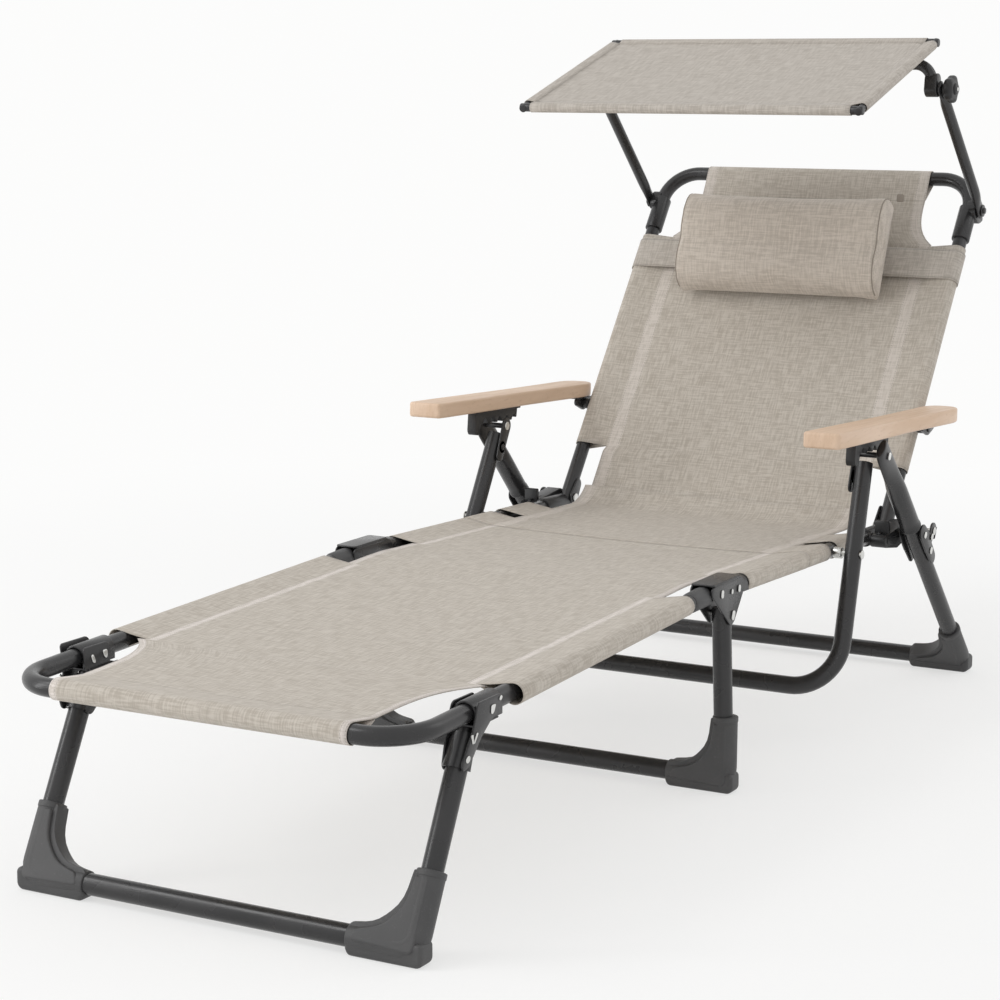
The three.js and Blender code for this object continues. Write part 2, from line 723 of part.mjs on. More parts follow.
const linkInner = rearLegHalfWidth - sleeveOuter - gap - plate;
const linkOuter = rearLegHalfWidth + sleeveOuter + gap;
const knuckleInner = railHalfWidth + railRadius + gap;
const knuckleOuter = linkInner - headHeight * 2;
function rearLinkBody() {
  const lobes = [
    bandRound([[linkTop.y, linkTop.z, legRadius], [backHinge.y, backHinge.z, legRadius]]),
    bandRound([[backHinge.y, backHinge.z, legRadius], [linkMid.y, linkMid.z, headRadius]]),
    bandRound([[linkMid.y, linkMid.z, headRadius], [linkLow.y, linkLow.z, legRadius - plate]]),
    bandRound([[linkTop.y, linkTop.z, headRadius], [linkMid.y, linkMid.z, headRadius]]),
  ];
  const bodies = [];
  for (const outline of lobes) {
    bodies.push(sidePlate(outline, linkInner, linkInner + plate));
    bodies.push(sidePlate(outline, linkOuter, linkOuter + plate));
  }
  for (const [y, z] of linkPins) {
    const x1 = linkInner - headHeight;
    bodies.push(headedPin(x1, linkOuter + plate + headHeight, y, z, rivetRadius, headRadius * 3 / 4));
  }
  const stub = knuckleOuter + gap * 2;
  bodies.push(headedPin(stub, linkOuter + plate + headHeight, backHinge.y, backHinge.z, rivetRadius));
  return joined(bodies);
}

// Seat rails, with the knuckle and the rear hinge
let seatRail = tube(
  [
    vec(railHalfWidth, hinge.y + railRadius + gap * 4, seatHeight(hinge.y + railRadius + gap * 4)),
    vec(railHalfWidth, railEnd, seatHeight(railEnd)),
  ],
  0, railRadius, railWall,
);
const knuckleFixings = [6, 10].map((share) => {
  const y = backHinge.y - headRadius * share;
  return [y, seatHeight(y)];
});
for (const [y, z] of [...middleFixings, ...knuckleFixings]) {
  seatRail = seatRail.subtract(rod(0, railHalfWidth * 2, y, z, rivetRadius + gap));
}
seatRail = seatRail.subtract(rod(0, railHalfWidth * 2, crossing.y, crossing.z, pinRadius + pinGap));

function knuckleBody() {
  const front = backHinge.y - headRadius * 12;
  const z = seatHeight(front);
  const blockOutline = bandRound([
    [front, z - headHeight, railRadius - headHeight],
    [backHinge.y - headRadius * 6, z - headRadius, railRadius],
    [backHinge.y, backHinge.z, legRadius],
  ]);
  let body = sidePlate(blockOutline, knuckleInner, knuckleOuter);
  const ribLow = block(knuckleInner, knuckleOuter, front, backHinge.y - legRadius, z + headHeight, z + railRadius);
  const upright = block(
    knuckleInner, knuckleOuter, front + headRadius, front + headRadius * 2, z, z + railRadius * 2 + headHeight * 2,
  );
  body = body.add(ribLow).add(upright);
  body = body.subtract(rod(0, railHalfWidth * 2, backHinge.y, backHinge.z, pinRadius + gap));
  for (const [y, height] of knuckleFixings) {
    const low = railHalfWidth - railRadius - headHeight - gap;
    body = body.add(headedPin(low, knuckleInner + plate * 2, y, height, rivetRadius, headRadius * 3 / 4));
  }
  return body;
}

// Backrest frame, laid out along its own slope
const backUp = vec(0, Math.cos(radians(backAngle)), Math.sin(radians(backAngle)));
const backFace = vec(0, -backUp.z, backUp.y);
const backPoint = (x, along, out = 0) => {
  return vec(x, backHinge.y, backHinge.z).addScaledVector(backUp, along).addScaledVector(backFace, out);
};
const backReach = railRadius + gap;
let back = tube(
  [
    backPoint(railHalfWidth, -backReach),
    backPoint(railHalfWidth, backLength),
    backPoint(-railHalfWidth, backLength),
    backPoint(-railHalfWidth, -backReach),
  ],
  backBend, railRadius, railWall,
);
const wideX = railHalfWidth * 2;
back = roundEnd(back, backHinge.y, backHinge.z, railRadius, -backUp.y, -backUp.z, -wideX, wideX);
const armPivot = backPoint(0, armPivotAlong);
const footFixing = backPoint(0, headRadius * 3);
back = back.subtract(rod(-wideX, wideX, backHinge.y, backHinge.z, pinRadius + pinGap));
back = back.subtract(rod(-wideX, wideX, armPivot.y, armPivot.z, pinRadius + pinGap));
back = back.subtract(rod(-wideX, wideX, footFixing.y, footFixing.z, rivetRadius + gap));
addPart('backrest_frame', back, 'steel');

const footPlateOuter = railHalfWidth - railRadius - gap;
function backFootBody() {
  const outline = bandRound([
    [backHinge.y, backHinge.z, legRadius],
    [footFixing.y, footFixing.z, railRadius - headHeight],
  ]);
  let body = sidePlate(outline, footPlateOuter - plate, footPlateOuter);
  body = body.subtract(rod(0, wideX, backHinge.y, backHinge.z, pinRadius + gap));
  const x1 = footPlateOuter - plate - headHeight;
  const x2 = railHalfWidth + railRadius + gap;
  return body.add(headedPin(x1, x2 + headHeight, footFixing.y, footFixing.z, rivetRadius, headRadius * 3 / 4));
}

// Canopy pivot bracket: a collar on the backrest with an outward pivot
const canopyPivot = backPoint(0, canopyPivotAlong);
const armBossInner = canopyArmLane - bossHalfThickness;
const armBossOuter = canopyArmLane + bossHalfThickness;
function pivotBracketBody() {
  const ends = [backPoint(railHalfWidth, pivotSleeveLow), backPoint(railHalfWidth, pivotSleeveHigh)];
  const collarRadius = railRadius + saddleGap + plate;
  const collar = tube(ends, 0, collarRadius, 0, 10);
  const bore = tube(
    [backPoint(railHalfWidth, pivotSleeveLow - overrun), backPoint(railHalfWidth, pivotSleeveHigh + overrun)],
    0, railRadius + gap, 0, 14,
  );
  const start = railHalfWidth + railRadius + gap * 2;
  const outerHead = armBossOuter + gap + headHeight;
  const pin = rod(start, outerHead, canopyPivot.y, canopyPivot.z, pinRadius);
  const head = rod(armBossOuter + gap, outerHead, canopyPivot.y, canopyPivot.z, headRadius);
  const foot = rod(start, armBossInner - gap, canopyPivot.y, canopyPivot.z, headRadius);
  return joined([collar, pin, head, foot]).subtract(bore);
}

// Canopy arms
const armLean = radians(canopyArmLean);
const armUp = vec(0, -Math.sin(armLean), Math.cos(armLean));
const knobAxis = canopyPivot.clone().addScaledVector(armUp, canopyArmLength);
function canopyArmBody() {
  const low = canopyPivot.clone().addScaledVector(armUp, bossRadius / 2);
  const high = canopyPivot.clone().addScaledVector(armUp, canopyArmLength - bossRadius / 2);
  low.x = canopyArmLane;
  high.x = canopyArmLane;
  const flare = bossRadius * 2;
  const marks = [0, bossRadius, bossRadius + flare / 2, bossRadius + flare];
  const span = canopyArmLength - bossRadius;
  for (const t of [...marks].reverse()) marks.push(span - t);
  const stations = marks.map((t) => ({ point: low.clone().addScaledVector(armUp, t), heading: armUp }));
  const section = ring(canopyArmRadius, 12, THREE.Shape);
  const straight = solid(new THREE.ExtrudeGeometry(section, {
    steps: stations.length - 1,
    extrudePath: new BentPath(stations),
    bevelEnabled: false,
  }));
  const flat = bossHalfThickness / canopyArmRadius;
  const pressed = reshape(straight, (p) => {
    const t = p.clone().sub(low).dot(armUp);
    const k = THREE.MathUtils.smoothstep(Math.min(t, span - t), bossRadius, bossRadius + flare);
    return vec(canopyArmLane + (p.x - canopyArmLane) * (flat + (1 - flat) * k), p.y, p.z);
  });
  const bosses = [canopyPivot, knobAxis].map((p) => rod(armBossInner, armBossOuter, p.y, p.z, bossRadius, 14));
  let body = joined([pressed, ...bosses]);
  body = body.subtract(rod(0, wideX, canopyPivot.y, canopyPivot.z, pinRadius + pinGap));
  return body.subtract(rod(0, wideX, knobAxis.y, knobAxis.z, pinRadius + pinGap));
}

// Canopy yoke: a cross tube with a flat boss at each knob
const yokeLane = canopyArmLane - yokeInset;
const canopyUp = vec(0, Math.cos(radians(canopySlope)), Math.sin(radians(canopySlope)));
const canopyFace = vec(0, -canopyUp.z, canopyUp.y);
const canopyRear = vec(0, knobAxis.y + canopyRearBack, knobAxis.z + canopyRearRise);
const canopyPoint = (x, ahead, out = 0) => {
  return vec(x, canopyRear.y, canopyRear.z).addScaledVector(canopyUp, -ahead).addScaledVector(canopyFace, out);
};
function yokeBody() {
  const bottom = knobAxis.z + bossRadius / 2;
  const top = knobAxis.z + yokeRise;
  const path = [
    vec(yokeLane, knobAxis.y, bottom),
    vec(yokeLane, knobAxis.y, top),
    vec(-yokeLane, knobAxis.y, top),
    vec(-yokeLane, knobAxis.y, bottom),
  ];
  const bodies = [tube(path, yokeBend, canopyArmRadius, 0, 12)];
  for (const [, side] of sides) {
    const inner = yokeLane - canopyArmRadius;
    const outer = armBossInner - gap;
    const boss = rod(inner, outer, knobAxis.y, knobAxis.z, bossRadius, 14);
    bodies.push(across(boss, side));
    const seat = canopyPoint(0, 0, -rimRadius - gap - headHeight);
    const clip = bandRound([
      [knobAxis.y, top, canopyArmRadius + headHeight],
      [seat.y, seat.z, headHeight],
    ]);
    const clipLane = canopyHalfWidth * 3 / 5;
    bodies.push(across(sidePlate(clip, clipLane, clipLane + headRadius * 2), side));
  }
  let body = joined(bodies);
  body = body.subtract(rod(-wideX, wideX, knobAxis.y, knobAxis.z, pinRadius + pinGap));
  return body;
}
addPart('canopy_yoke', yokeBody(), 'steel');

function canopyRimBody() {
  const corner = [
    canopyPoint(canopyHalfWidth, 0),
    canopyPoint(-canopyHalfWidth, 0),
    canopyPoint(-canopyHalfWidth, canopyDepth),
    canopyPoint(canopyHalfWidth, canopyDepth),
  ];
  const bodies = [];
  for (let i = 0; i < corner.length; i += 1) {
    const next = corner[(i + 1) % corner.length];
    bodies.push(tube([corner[i], next], 0, rimRadius, 0, 10));
    const knob = new THREE.IcosahedronGeometry(rimRadius + gap, 0);
    knob.translate(corner[i].x, corner[i].y, corner[i].z);
    bodies.push(solid(knob));
  }
  return joined(bodies);
}
addPart('canopy_rim', canopyRimBody(), 'steel');

// Canopy cloth: a top skin with a lip round the rim, cut away at the corners
function canopyClothBody() {
  const reach = canopyHalfWidth + rimRadius + gap;
  const skin = rimRadius + gap;
  const low = -rimRadius;
  const slab = (edge, depthLow, depthHigh, from, to) => {
    const corners = [[-edge, depthLow], [edge, depthLow], [edge, depthHigh], [-edge, depthHigh]];
    const geometry = prism(corners, from, to, xAxis, yAxis);
    return reshape(geometry, (p) => canopyPoint(p.x, -p.y, p.z));
  };
  const over = rimRadius + gap;
  const outer = slab(reach + cloth, -canopyDepth - over - cloth, over + cloth, low, skin + cloth);
  const inner = slab(reach, -canopyDepth - over, over, low - overrun, skin);
  let body = outer.subtract(inner);
  const notch = rimRadius * 2 + gap;
  for (const x of [-1, 1]) {
    for (const end of [0, 1]) {
      const x1 = x > 0 ? canopyHalfWidth - notch / 2 : -canopyHalfWidth - overrun;
      const y1 = end > 0 ? -canopyDepth - overrun : -notch / 2;
      const cutter = prism(
        [[x1, y1], [x1 + overrun + notch / 2, y1], [x1 + overrun + notch / 2, y1 + overrun + notch / 2],
          [x1, y1 + overrun + notch / 2]],
        -overrun, overrun, xAxis, yAxis,
      );
      body = body.subtract(reshape(cutter, (p) => canopyPoint(p.x, -p.y, p.z)));
    }
  }
  return body;
}
addPart('canopy_cloth', canopyClothBody(), 'sling');

// Clamp knob with its through bolt
function knobBody() {
  const lobes = [];
  const lobeCount = 5;
  const x1 = armBossOuter + gap * 2;
  const x2 = x1 + knobThickness;
  const lobeRadius = knobRadius * 3 / 7;
  const lobeReach = knobRadius - lobeRadius;
  for (let i = 0; i < lobeCount; i += 1) {
    const angle = (Math.PI * 2 * i) / lobeCount;
    const y = knobAxis.y + lobeReach * Math.cos(angle);
    const z = knobAxis.z + lobeReach * Math.sin(angle);
    lobes.push(rod(x1, x2, y, z, lobeRadius, 12));
  }
  lobes.push(rod(x1, x2 + headHeight, knobAxis.y, knobAxis.z, headRadius));
  const inner = yokeLane - canopyArmRadius;
  lobes.push(rod(inner - headHeight, x2, knobAxis.y, knobAxis.z, pinRadius));
  lobes.push(rod(inner - headHeight - gap, inner - gap, knobAxis.y, knobAxis.z, headRadius));
  return joined(lobes);
}

// Armrests
const armTiltUp = vec(0, Math.cos(radians(armTilt)), -Math.sin(radians(armTilt)));
const armFace = vec(0, -armTiltUp.z, armTiltUp.y);
const armPoint = (x, back, out = 0) => {
  return vec(x, apex.y, apex.z + armUnderRise).addScaledVector(armTiltUp, back).addScaledVector(armFace, out);
};
const armMatrix = new THREE.Matrix4().makeBasis(xAxis, armTiltUp, armFace);
armMatrix.setPosition(0, apex.y, apex.z + armUnderRise);
function armrestBody() {
  const middle = (armInner + armOuter) / 2;
  const half = (armOuter - armInner) / 2;
  const waistShares = [[0, 0.86], [0.02, 0.97], [0.08, 1], [0.3, 0.93], [0.55, 0.86], [0.8, 0.94], [0.92, 0.98]];
  const span = armFrontAhead + armRearBack;
  const outline = new THREE.Shape();
  const edge = waistShares.map(([s, w]) => new THREE.Vector2(middle + half * w, -armFrontAhead + span * s));
  outline.moveTo(edge[0].x, edge[0].y);
  for (const p of edge.slice(1)) outline.lineTo(p.x, p.y);
  const steps = 8;
  const round = half * 0.98;
  for (let i = 1; i < steps; i += 1) {
    const angle = (Math.PI * i) / steps;
    outline.lineTo(middle + round * Math.cos(angle), armRearBack - span * 0.08 + span * 0.08 * Math.sin(angle));
  }
  for (const p of edge.slice().reverse()) outline.lineTo(middle * 2 - p.x, p.y);
  outline.closePath();
  const bevel = armThickness / 6;
  const geometry = new THREE.ExtrudeGeometry(outline, {
    depth: armThickness - bevel * 2,
    bevelEnabled: true,
    bevelThickness: bevel,
    bevelSize: bevel,
    bevelOffset: -bevel,
    bevelSegments: 2,
  });
  geometry.translate(0, 0, bevel);
  geometry.applyMatrix4(armMatrix);
  return solid(geometry);
}

// Rack: a toothed bar under the armrest that rides over the apex pin
function rackBody() {
  const low = -(armUnderRise - pinRadius - gap * 3);
  const top = -gap;
  const lobe = -rackFrontAhead + headRadius;
  const first = lobe + headHeight;
  const outline = [[-rackFrontAhead, top], [-rackFrontAhead, -rackDepth], [lobe, -rackDepth], [first, low]];
  const pitch = (rackRearBack - first) / toothCount;
  for (let i = 0; i < toothCount; i += 1) {
    const start = first + pitch * i;
    outline.push([start + pitch / 2, low + toothDepth], [start + pitch, low]);
  }
  outline.push([rackRearBack, top]);
  const bar = prism(outline, rackLane - rackHalfThickness, rackLane + rackHalfThickness, yAxis, zAxis);
  return reshape(bar, (p) => armPoint(p.x, p.y, p.z));
}

// Armrest hinge bracket with its pivot through the backrest tube
const armBackAlong = (armPivot.y - apex.y) * armTiltUp.y + (armPivot.z - apex.z - armUnderRise) * armTiltUp.z;
const hingePlateLane = armInner + headRadius;
function armHingeBody() {
  const under = armPoint(0, armBackAlong, -gap - headRadius);
  const outline = bandRound([
    [armPivot.y, armPivot.z, headRadius * 3 / 2],
    [under.y - headRadius * 3, under.z + headRadius * 3 * Math.tan(radians(armTilt)), headRadius],
    [under.y + headRadius * 3, under.z - headRadius * 3 * Math.tan(radians(armTilt)), headRadius],
  ]);
  const lug = sidePlate(outline, hingePlateLane, hingePlateLane + plate * 2);
  const start = railHalfWidth - railRadius - gap - headHeight;
  const pin = rod(start, hingePlateLane + plate, armPivot.y, armPivot.z, pinRadius);
  const head = rod(start, railHalfWidth - railRadius - gap, armPivot.y, armPivot.z, headRadius);
  const spacer = rod(railHalfWidth + railRadius + gap * 2, hingePlateLane + plate, armPivot.y, armPivot.z, headRadius);
  return joined([lug, pin, head, spacer]);
}

// Repeated pieces on both sides
const pinEnds = {
  hinge: [cheekInner - plate - gap - headHeight, cheekOuter + plate + gap + headHeight],
  front: [legInner - plate - gap - headHeight, legOuter + plate + gap + headHeight],
  apex: [headPlateInner - gap - headHeight, rearLegHalfWidth + flatHalf + gap * 4 + headHeight],
};
const crossingLane = supportAt(supportSpan * (crossing.z - supportBar.z) / (apex.z - supportBar.z));
function crossingPinBody() {
  const x1 = railHalfWidth - railRadius - gap - headHeight;
  const x2 = crossingLane + legRadius + gap * 2 + headHeight;
  const pin = headedPin(x1, x2, crossing.y, crossing.z, pinRadius, headRadius * 4 / 3);
  const x3 = railHalfWidth + railRadius + gap;
  const spacer = rod(x3, crossingLane - legRadius - gap * 2, crossing.y, crossing.z, headRadius * 4 / 3);
  return pin.add(spacer);
}
function backHingePinBody() {
  const start = footPlateOuter - plate - gap - headHeight;
  const shaft = rod(start, knuckleOuter - headHeight, backHinge.y, backHinge.z, pinRadius);
  return shaft.add(rod(start, start + headHeight, backHinge.y, backHinge.z, headRadius));
}

for (const [word, side] of sides) {
  const put = (name, body, finish) => addPart(`${name}_${word}`, across(body, side), finish);
  put('seat_rail', seatRail, 'steel');
  put('front_bracket', frontBracketBody(), 'steel');
  put('middle_bracket', middleBracketBody(), 'steel');
  put('rail_knuckle', knuckleBody(), 'knuckle');
  put('foot_hinge_rivet', headedPin(pinEnds.hinge[0], pinEnds.hinge[1], hinge.y, hinge.z, pinRadius), 'zinc');
  put('middle_leg_rivet', headedPin(pinEnds.hinge[0], pinEnds.hinge[1], middlePivot.y, middlePivot.z, pinRadius), 'zinc');
  put('front_leg_rivet', headedPin(pinEnds.front[0], pinEnds.front[1], frontPivot.y, frontPivot.z, pinRadius), 'zinc');
  put('rail_crossing_rivet', crossingPinBody(), 'zinc');
  put('apex_rivet', headedPin(pinEnds.apex[0], pinEnds.apex[1], apex.y, apex.z, pinRadius), 'zinc');
  put('arm_support_plate', supportPlateBody(), 'steel');
  put('rear_leg_sleeve', sleeveBody(), 'steel');
  put('rear_link', rearLinkBody(), 'steel');
  put('backrest_foot_plate', backFootBody(), 'steel');
  put('backrest_hinge_pin', backHingePinBody(), 'zinc');
  put('canopy_pivot_bracket', pivotBracketBody(), 'steel');
  put('canopy_arm', canopyArmBody(), 'steel');
  put('canopy_knob', knobBody(), 'knuckle');
  put('armrest', armrestBody(), 'wood');
  put('armrest_rack', rackBody(), 'steel');
  put('armrest_hinge', armHingeBody(), 'steel');
  const frontBoot = boot(frontLegs.corners, legBend, frontBar, frontAway, frontLegHalfWidth, bootRise, bootReach);
  put('front_boot', frontBoot, 'boot');
  const middleBoot = boot(middleLegs.corners, legBend, middleBar, middleAway, middleBottomHalf, bootRise, bootReach);
  put('middle_boot', middleBoot, 'boot');
  const rearAway = rearDown.clone().negate();
  const rearBoot = boot(rearCorners, legBend, rearBar, rearAway, rearLegHalfWidth, bootRise, bootReach);
  put('rear_boot', rearBoot, 'boot');
}

// Slings: a sheet with a sewn pocket round each rail
function pocketSheet(from, to) {
  const inner = railRadius + gap;
  const outer = inner + cloth;
  const seam = railHalfWidth - seamInset;
  const steps = 14;
  const arc = (radius) => {
    const points = [];
    for (let i = 0; i <= steps; i += 1) {
      const angle = Math.PI * (3 / 5) - (Math.PI * (6 / 5) * i) / steps;
      points.push([railHalfWidth + radius * Math.cos(angle), radius * Math.sin(angle)]);
    }
    return points;
  };
  const right = [[seam, seamLift + cloth / 2], ...arc(outer), [seam, seamLift - cloth / 2]];
  const left = right.map(([x, z]) => [-x, z]).reverse();
  const rim = [...right, ...left].reverse();
  const outline = new THREE.Shape(rim.map(([x, z]) => new THREE.Vector2(x, z)));
  for (const flip of [1, -1]) {
    const hole = [[seam + cloth * 5, seamLift], ...arc(inner)];
    outline.holes.push(new THREE.Path(hole.map(([x, z]) => new THREE.Vector2(x * flip, z))));
  }
  const geometry = new THREE.ExtrudeGeometry(outline, { depth: to - from, bevelEnabled: false });
  geometry.applyMatrix4(new THREE.Matrix4().makeBasis(xAxis, zAxis, yAxis.clone().negate()));
  geometry.translate(0, to, 0);
  return solid(geometry);
}

function flatSheet(halves) {
  const right = halves.map(([y, half]) => [half, y]);
  const left = halves.map(([y, half]) => [-half, y]).reverse();
  return prism([...right, ...left], seamLift - cloth / 2, seamLift + cloth / 2, xAxis, yAxis);
}

function barPocket(y, half) {
  const ends = (over) => [vec(-half - over, y, 0), vec(half + over, y, 0)];
  const outer = tube(ends(0), 0, railRadius + gap * 3 + cloth, 0, 14);
  return outer.subtract(tube(ends(overrun), 0, railRadius + gap * 3, 0, 14));
}

const sheetWide = cheekInner - plate - headHeight * 3;
const cutoutShares = [[0, 1], [0.37, 1.005], [0.65, 1.05], [0.88, 1.13]];
const footFront = cutoutShares.map(([a, b]) => [sleeveFrontBack * a, sheetFrontHalfWidth * b]);
function footSlingBody() {
  const end = footLength - sleeveEndAhead;
  const pocket = pocketSheet(sleeveFrontBack, end);
  const flat = flatSheet([
    ...footFront,
    [sleeveFrontBack + cloth, sheetWide - cloth * 4],
    [sleeveFrontBack + seamInset, sheetWide - cloth * 10],
  ]);
  const tail = flatSheet([[end - cloth, sheetWide - cloth * 10], [hinge.y - cloth, sheetWide - cloth * 10]]);
  const bar = barPocket(0, sheetFrontHalfWidth);
  const bore = tube([vec(-wideX, 0, 0), vec(wideX, 0, 0)], 0, railRadius + gap * 3, 0, 14);
  const all = joined([pocket, flat, tail, bar]).subtract(bore);
  return reshape(all, (p) => {
    const pinch = p.y > sleeveFrontBack - cloth && p.y < end + cloth ? footEdge(p.y) / railHalfWidth : 1;
    return vec(p.x * pinch, p.y, p.z + footHeight(p.y));
  });
}
addPart('foot_sling', footSlingBody(), 'sling');

function seatSlingBody() {
  const start = hinge.y + cloth;
  const from = footLength + seatSleeveStart;
  const to = footLength + seatSleeveEnd;
  const end = footLength + seatSheetEnd;
  const narrow = sheetWide - cloth * 10;
  const parts = [
    pocketSheet(from, to),
    flatSheet([[start, narrow], [from + cloth, narrow]]),
    flatSheet([[to - cloth, narrow], [end, narrow]]),
  ];
  const slot = headRadius * 2;
  const reachX = railHalfWidth - railRadius - headHeight * 3;
  let body = joined(parts);
  for (const x1 of [reachX, -railHalfWidth - overrun]) {
    const x2 = x1 + railHalfWidth + overrun - reachX;
    body = body.subtract(block(x1, x2, crossing.y - slot, crossing.y + slot, -overrun, overrun));
  }
  return reshape(body, (p) => vec(p.x, p.y, p.z + seatHeight(p.y)));
}
addPart('seat_sling', seatSlingBody(), 'sling');

function backSlingBody() {
  const narrow = sheetWide - cloth * 10;
  const top = backLength;
  const shoulderShares = [[0.2, 1.16], [0.45, 1.06], [0.7, 1.01], [1, 1]];
  const rise = top - backSleeveHigh;
  const shoulder = [[backSleeveHigh - cloth, narrow]];
  for (const [a, b] of shoulderShares) shoulder.push([backSleeveHigh + rise * a, sheetBackHalfWidth * b]);
  const bar = barPocket(top, sheetBackHalfWidth);
  const bore = tube([vec(-wideX, top, 0), vec(wideX, top, 0)], 0, railRadius + gap, 0, 14);
  let body = joined([pocketSheet(backSleeveLow, backSleeveHigh), flatSheet(shoulder), bar]).subtract(bore);
  const slot = headRadius * 2;
  const reachX = railHalfWidth - railRadius - headHeight * 3;
  for (const x1 of [reachX, -railHalfWidth - overrun]) {
    const x2 = x1 + railHalfWidth + overrun - reachX;
    body = body.subtract(block(x1, x2, armPivotAlong - slot, armPivotAlong + slot, -overrun, overrun));
  }
  return reshape(body, (p) => backPoint(p.x, p.y, p.z));
}
addPart('back_sling', backSlingBody(), 'sling');

// Headrest: a strap round the backrest that carries the pillow
function strapBody() {
  const face = railRadius + gap + cloth + strapGap;
  const edge = railHalfWidth + face;
  const outer = block(-edge - cloth, edge + cloth, strapLow, strapHigh, -face - cloth, face + cloth);
  const inner = block(-edge, edge, strapLow - overrun, strapHigh + overrun, -face, face);
  return reshape(outer.subtract(inner), (p) => backPoint(p.x, p.y, p.z));
}
addPart('headrest_strap', strapBody(), 'sling');

function pillowBody() {
  const base = railRadius + gap * 2 + cloth * 2 + strapGap;
  const half = (pillowHigh - pillowLow) / 2;
  const middle = (pillowHigh + pillowLow) / 2;
  const outline = [];
  const steps = 20;
  for (let i = 0; i <= steps; i += 1) {
    const angle = (Math.PI * i) / steps;
    outline.push(new THREE.Vector2(middle + half * Math.cos(angle), base + pillowDepth * Math.sin(angle) ** (2 / 3)));
  }
  const geometry = new THREE.ExtrudeGeometry(new THREE.Shape(outline), {
    depth: (pillowHalfWidth - pillowEdge) * 2,
    bevelEnabled: true,
    bevelThickness: pillowEdge,
    bevelSize: pillowEdge,
    bevelOffset: -pillowEdge,
    bevelSegments: 3,
  });
  geometry.translate(0, 0, -pillowHalfWidth + pillowEdge);
  geometry.applyMatrix4(new THREE.Matrix4().makeBasis(yAxis, zAxis, xAxis));
  return reshape(solid(geometry), (p) => backPoint(p.x, p.y, p.z));
}
addPart('headrest_pillow', pillowBody(), 'pillow');

// The part stands over its own centre
const bounds = new THREE.Box3().setFromObject(group);
const shift = -(bounds.min.y + bounds.max.y) / 2;
for (const mesh of group.children) mesh.position.y = shift;

export default group;
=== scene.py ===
import math

import bmesh
import bpy
from mathutils import Matrix, Vector
from mathutils.bvhtree import BVHTree
from mathutils.geometry import convex_hull_2d


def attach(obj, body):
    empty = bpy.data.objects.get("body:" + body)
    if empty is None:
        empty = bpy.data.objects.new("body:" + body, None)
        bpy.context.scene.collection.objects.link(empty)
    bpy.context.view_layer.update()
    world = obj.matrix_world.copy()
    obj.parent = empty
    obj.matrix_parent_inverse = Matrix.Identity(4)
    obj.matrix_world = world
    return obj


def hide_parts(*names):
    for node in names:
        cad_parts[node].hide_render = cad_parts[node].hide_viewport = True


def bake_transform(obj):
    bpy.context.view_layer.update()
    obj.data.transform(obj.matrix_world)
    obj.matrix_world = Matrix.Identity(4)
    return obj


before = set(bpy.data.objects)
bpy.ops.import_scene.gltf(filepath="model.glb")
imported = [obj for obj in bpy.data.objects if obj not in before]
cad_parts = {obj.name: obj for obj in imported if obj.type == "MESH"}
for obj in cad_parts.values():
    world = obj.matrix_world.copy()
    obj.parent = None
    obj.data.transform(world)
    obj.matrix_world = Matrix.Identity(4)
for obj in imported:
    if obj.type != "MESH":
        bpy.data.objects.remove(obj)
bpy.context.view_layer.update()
scene = bpy.context.scene
scene.view_settings.view_transform = "Standard"

# The camera looks at the foot end from the sitter's left, a little above the canopy's
# front edge, as the photograph does. It comes first, before any piece is made.
def place_object(name, data):
    made = bpy.data.objects.new(name, data)
    scene.collection.objects.link(made)
    return made


camera_data = bpy.data.cameras.new("camera")
camera_data.sensor_width = 36
camera_data.lens = 90.5
camera_data.shift_x = -0.0031
camera_data.shift_y = -0.0658
camera = place_object("camera", camera_data)
camera.location = (1.5710, -3.0121, 0.9364)
camera.rotation_euler = (math.radians(81.63), 0, math.radians(29.17))
scene.camera = camera


# The studio: a plain pale floor that keeps the lounger's shadow, an even white surround,
# and three broad soft lamps, the stronger two from the left, as in the photograph.
def feed(tree, made, values):
    """Gives each named input of a shader node a value, or links a socket to it."""
    for key, value in values.items():
        if isinstance(value, bpy.types.NodeSocket):
            tree.links.new(value, made.inputs[key])
        elif isinstance(value, tuple) and made.inputs[key].type == "RGBA":
            made.inputs[key].default_value = (*value, 1)
        else:
            made.inputs[key].default_value = value


def node(tree, kind, values=None):
    made = tree.nodes.new("ShaderNode" + kind)
    feed(tree, made, values or {})
    return made


def map_node(tree, value, low, high, to_low=0.0, to_high=1.0):
    made = node(tree, "MapRange", {
        "Value": value, "From Min": low, "From Max": high, "To Min": to_low, "To Max": to_high,
    })
    made.interpolation_type = "SMOOTHSTEP"
    return made.outputs["Result"]


def math_node(tree, operation, first, second=0.0):
    made = node(tree, "Math", {0: first, 1: second})
    made.operation = operation
    return made.outputs[0]


def times(tree, first, second):
    return math_node(tree, "MULTIPLY", first, second)


def seen_by(tree, *rays):
    """1 for the rays that look at the studio, and 0 for the light that falls on the lounger."""
    path = node(tree, "LightPath")
    share = path.outputs[rays[0]]
    for ray in rays[1:]:
        share = math_node(tree, "MAXIMUM", share, path.outputs[ray])
    return share


def new_material(name):
    material = bpy.data.materials.new(name)
    material.use_nodes = True
    return material, material.node_tree


def take_mesh(bm, name):
    mesh = bpy.data.meshes.new(name)
    bm.to_mesh(mesh)
    bm.free()
    return mesh


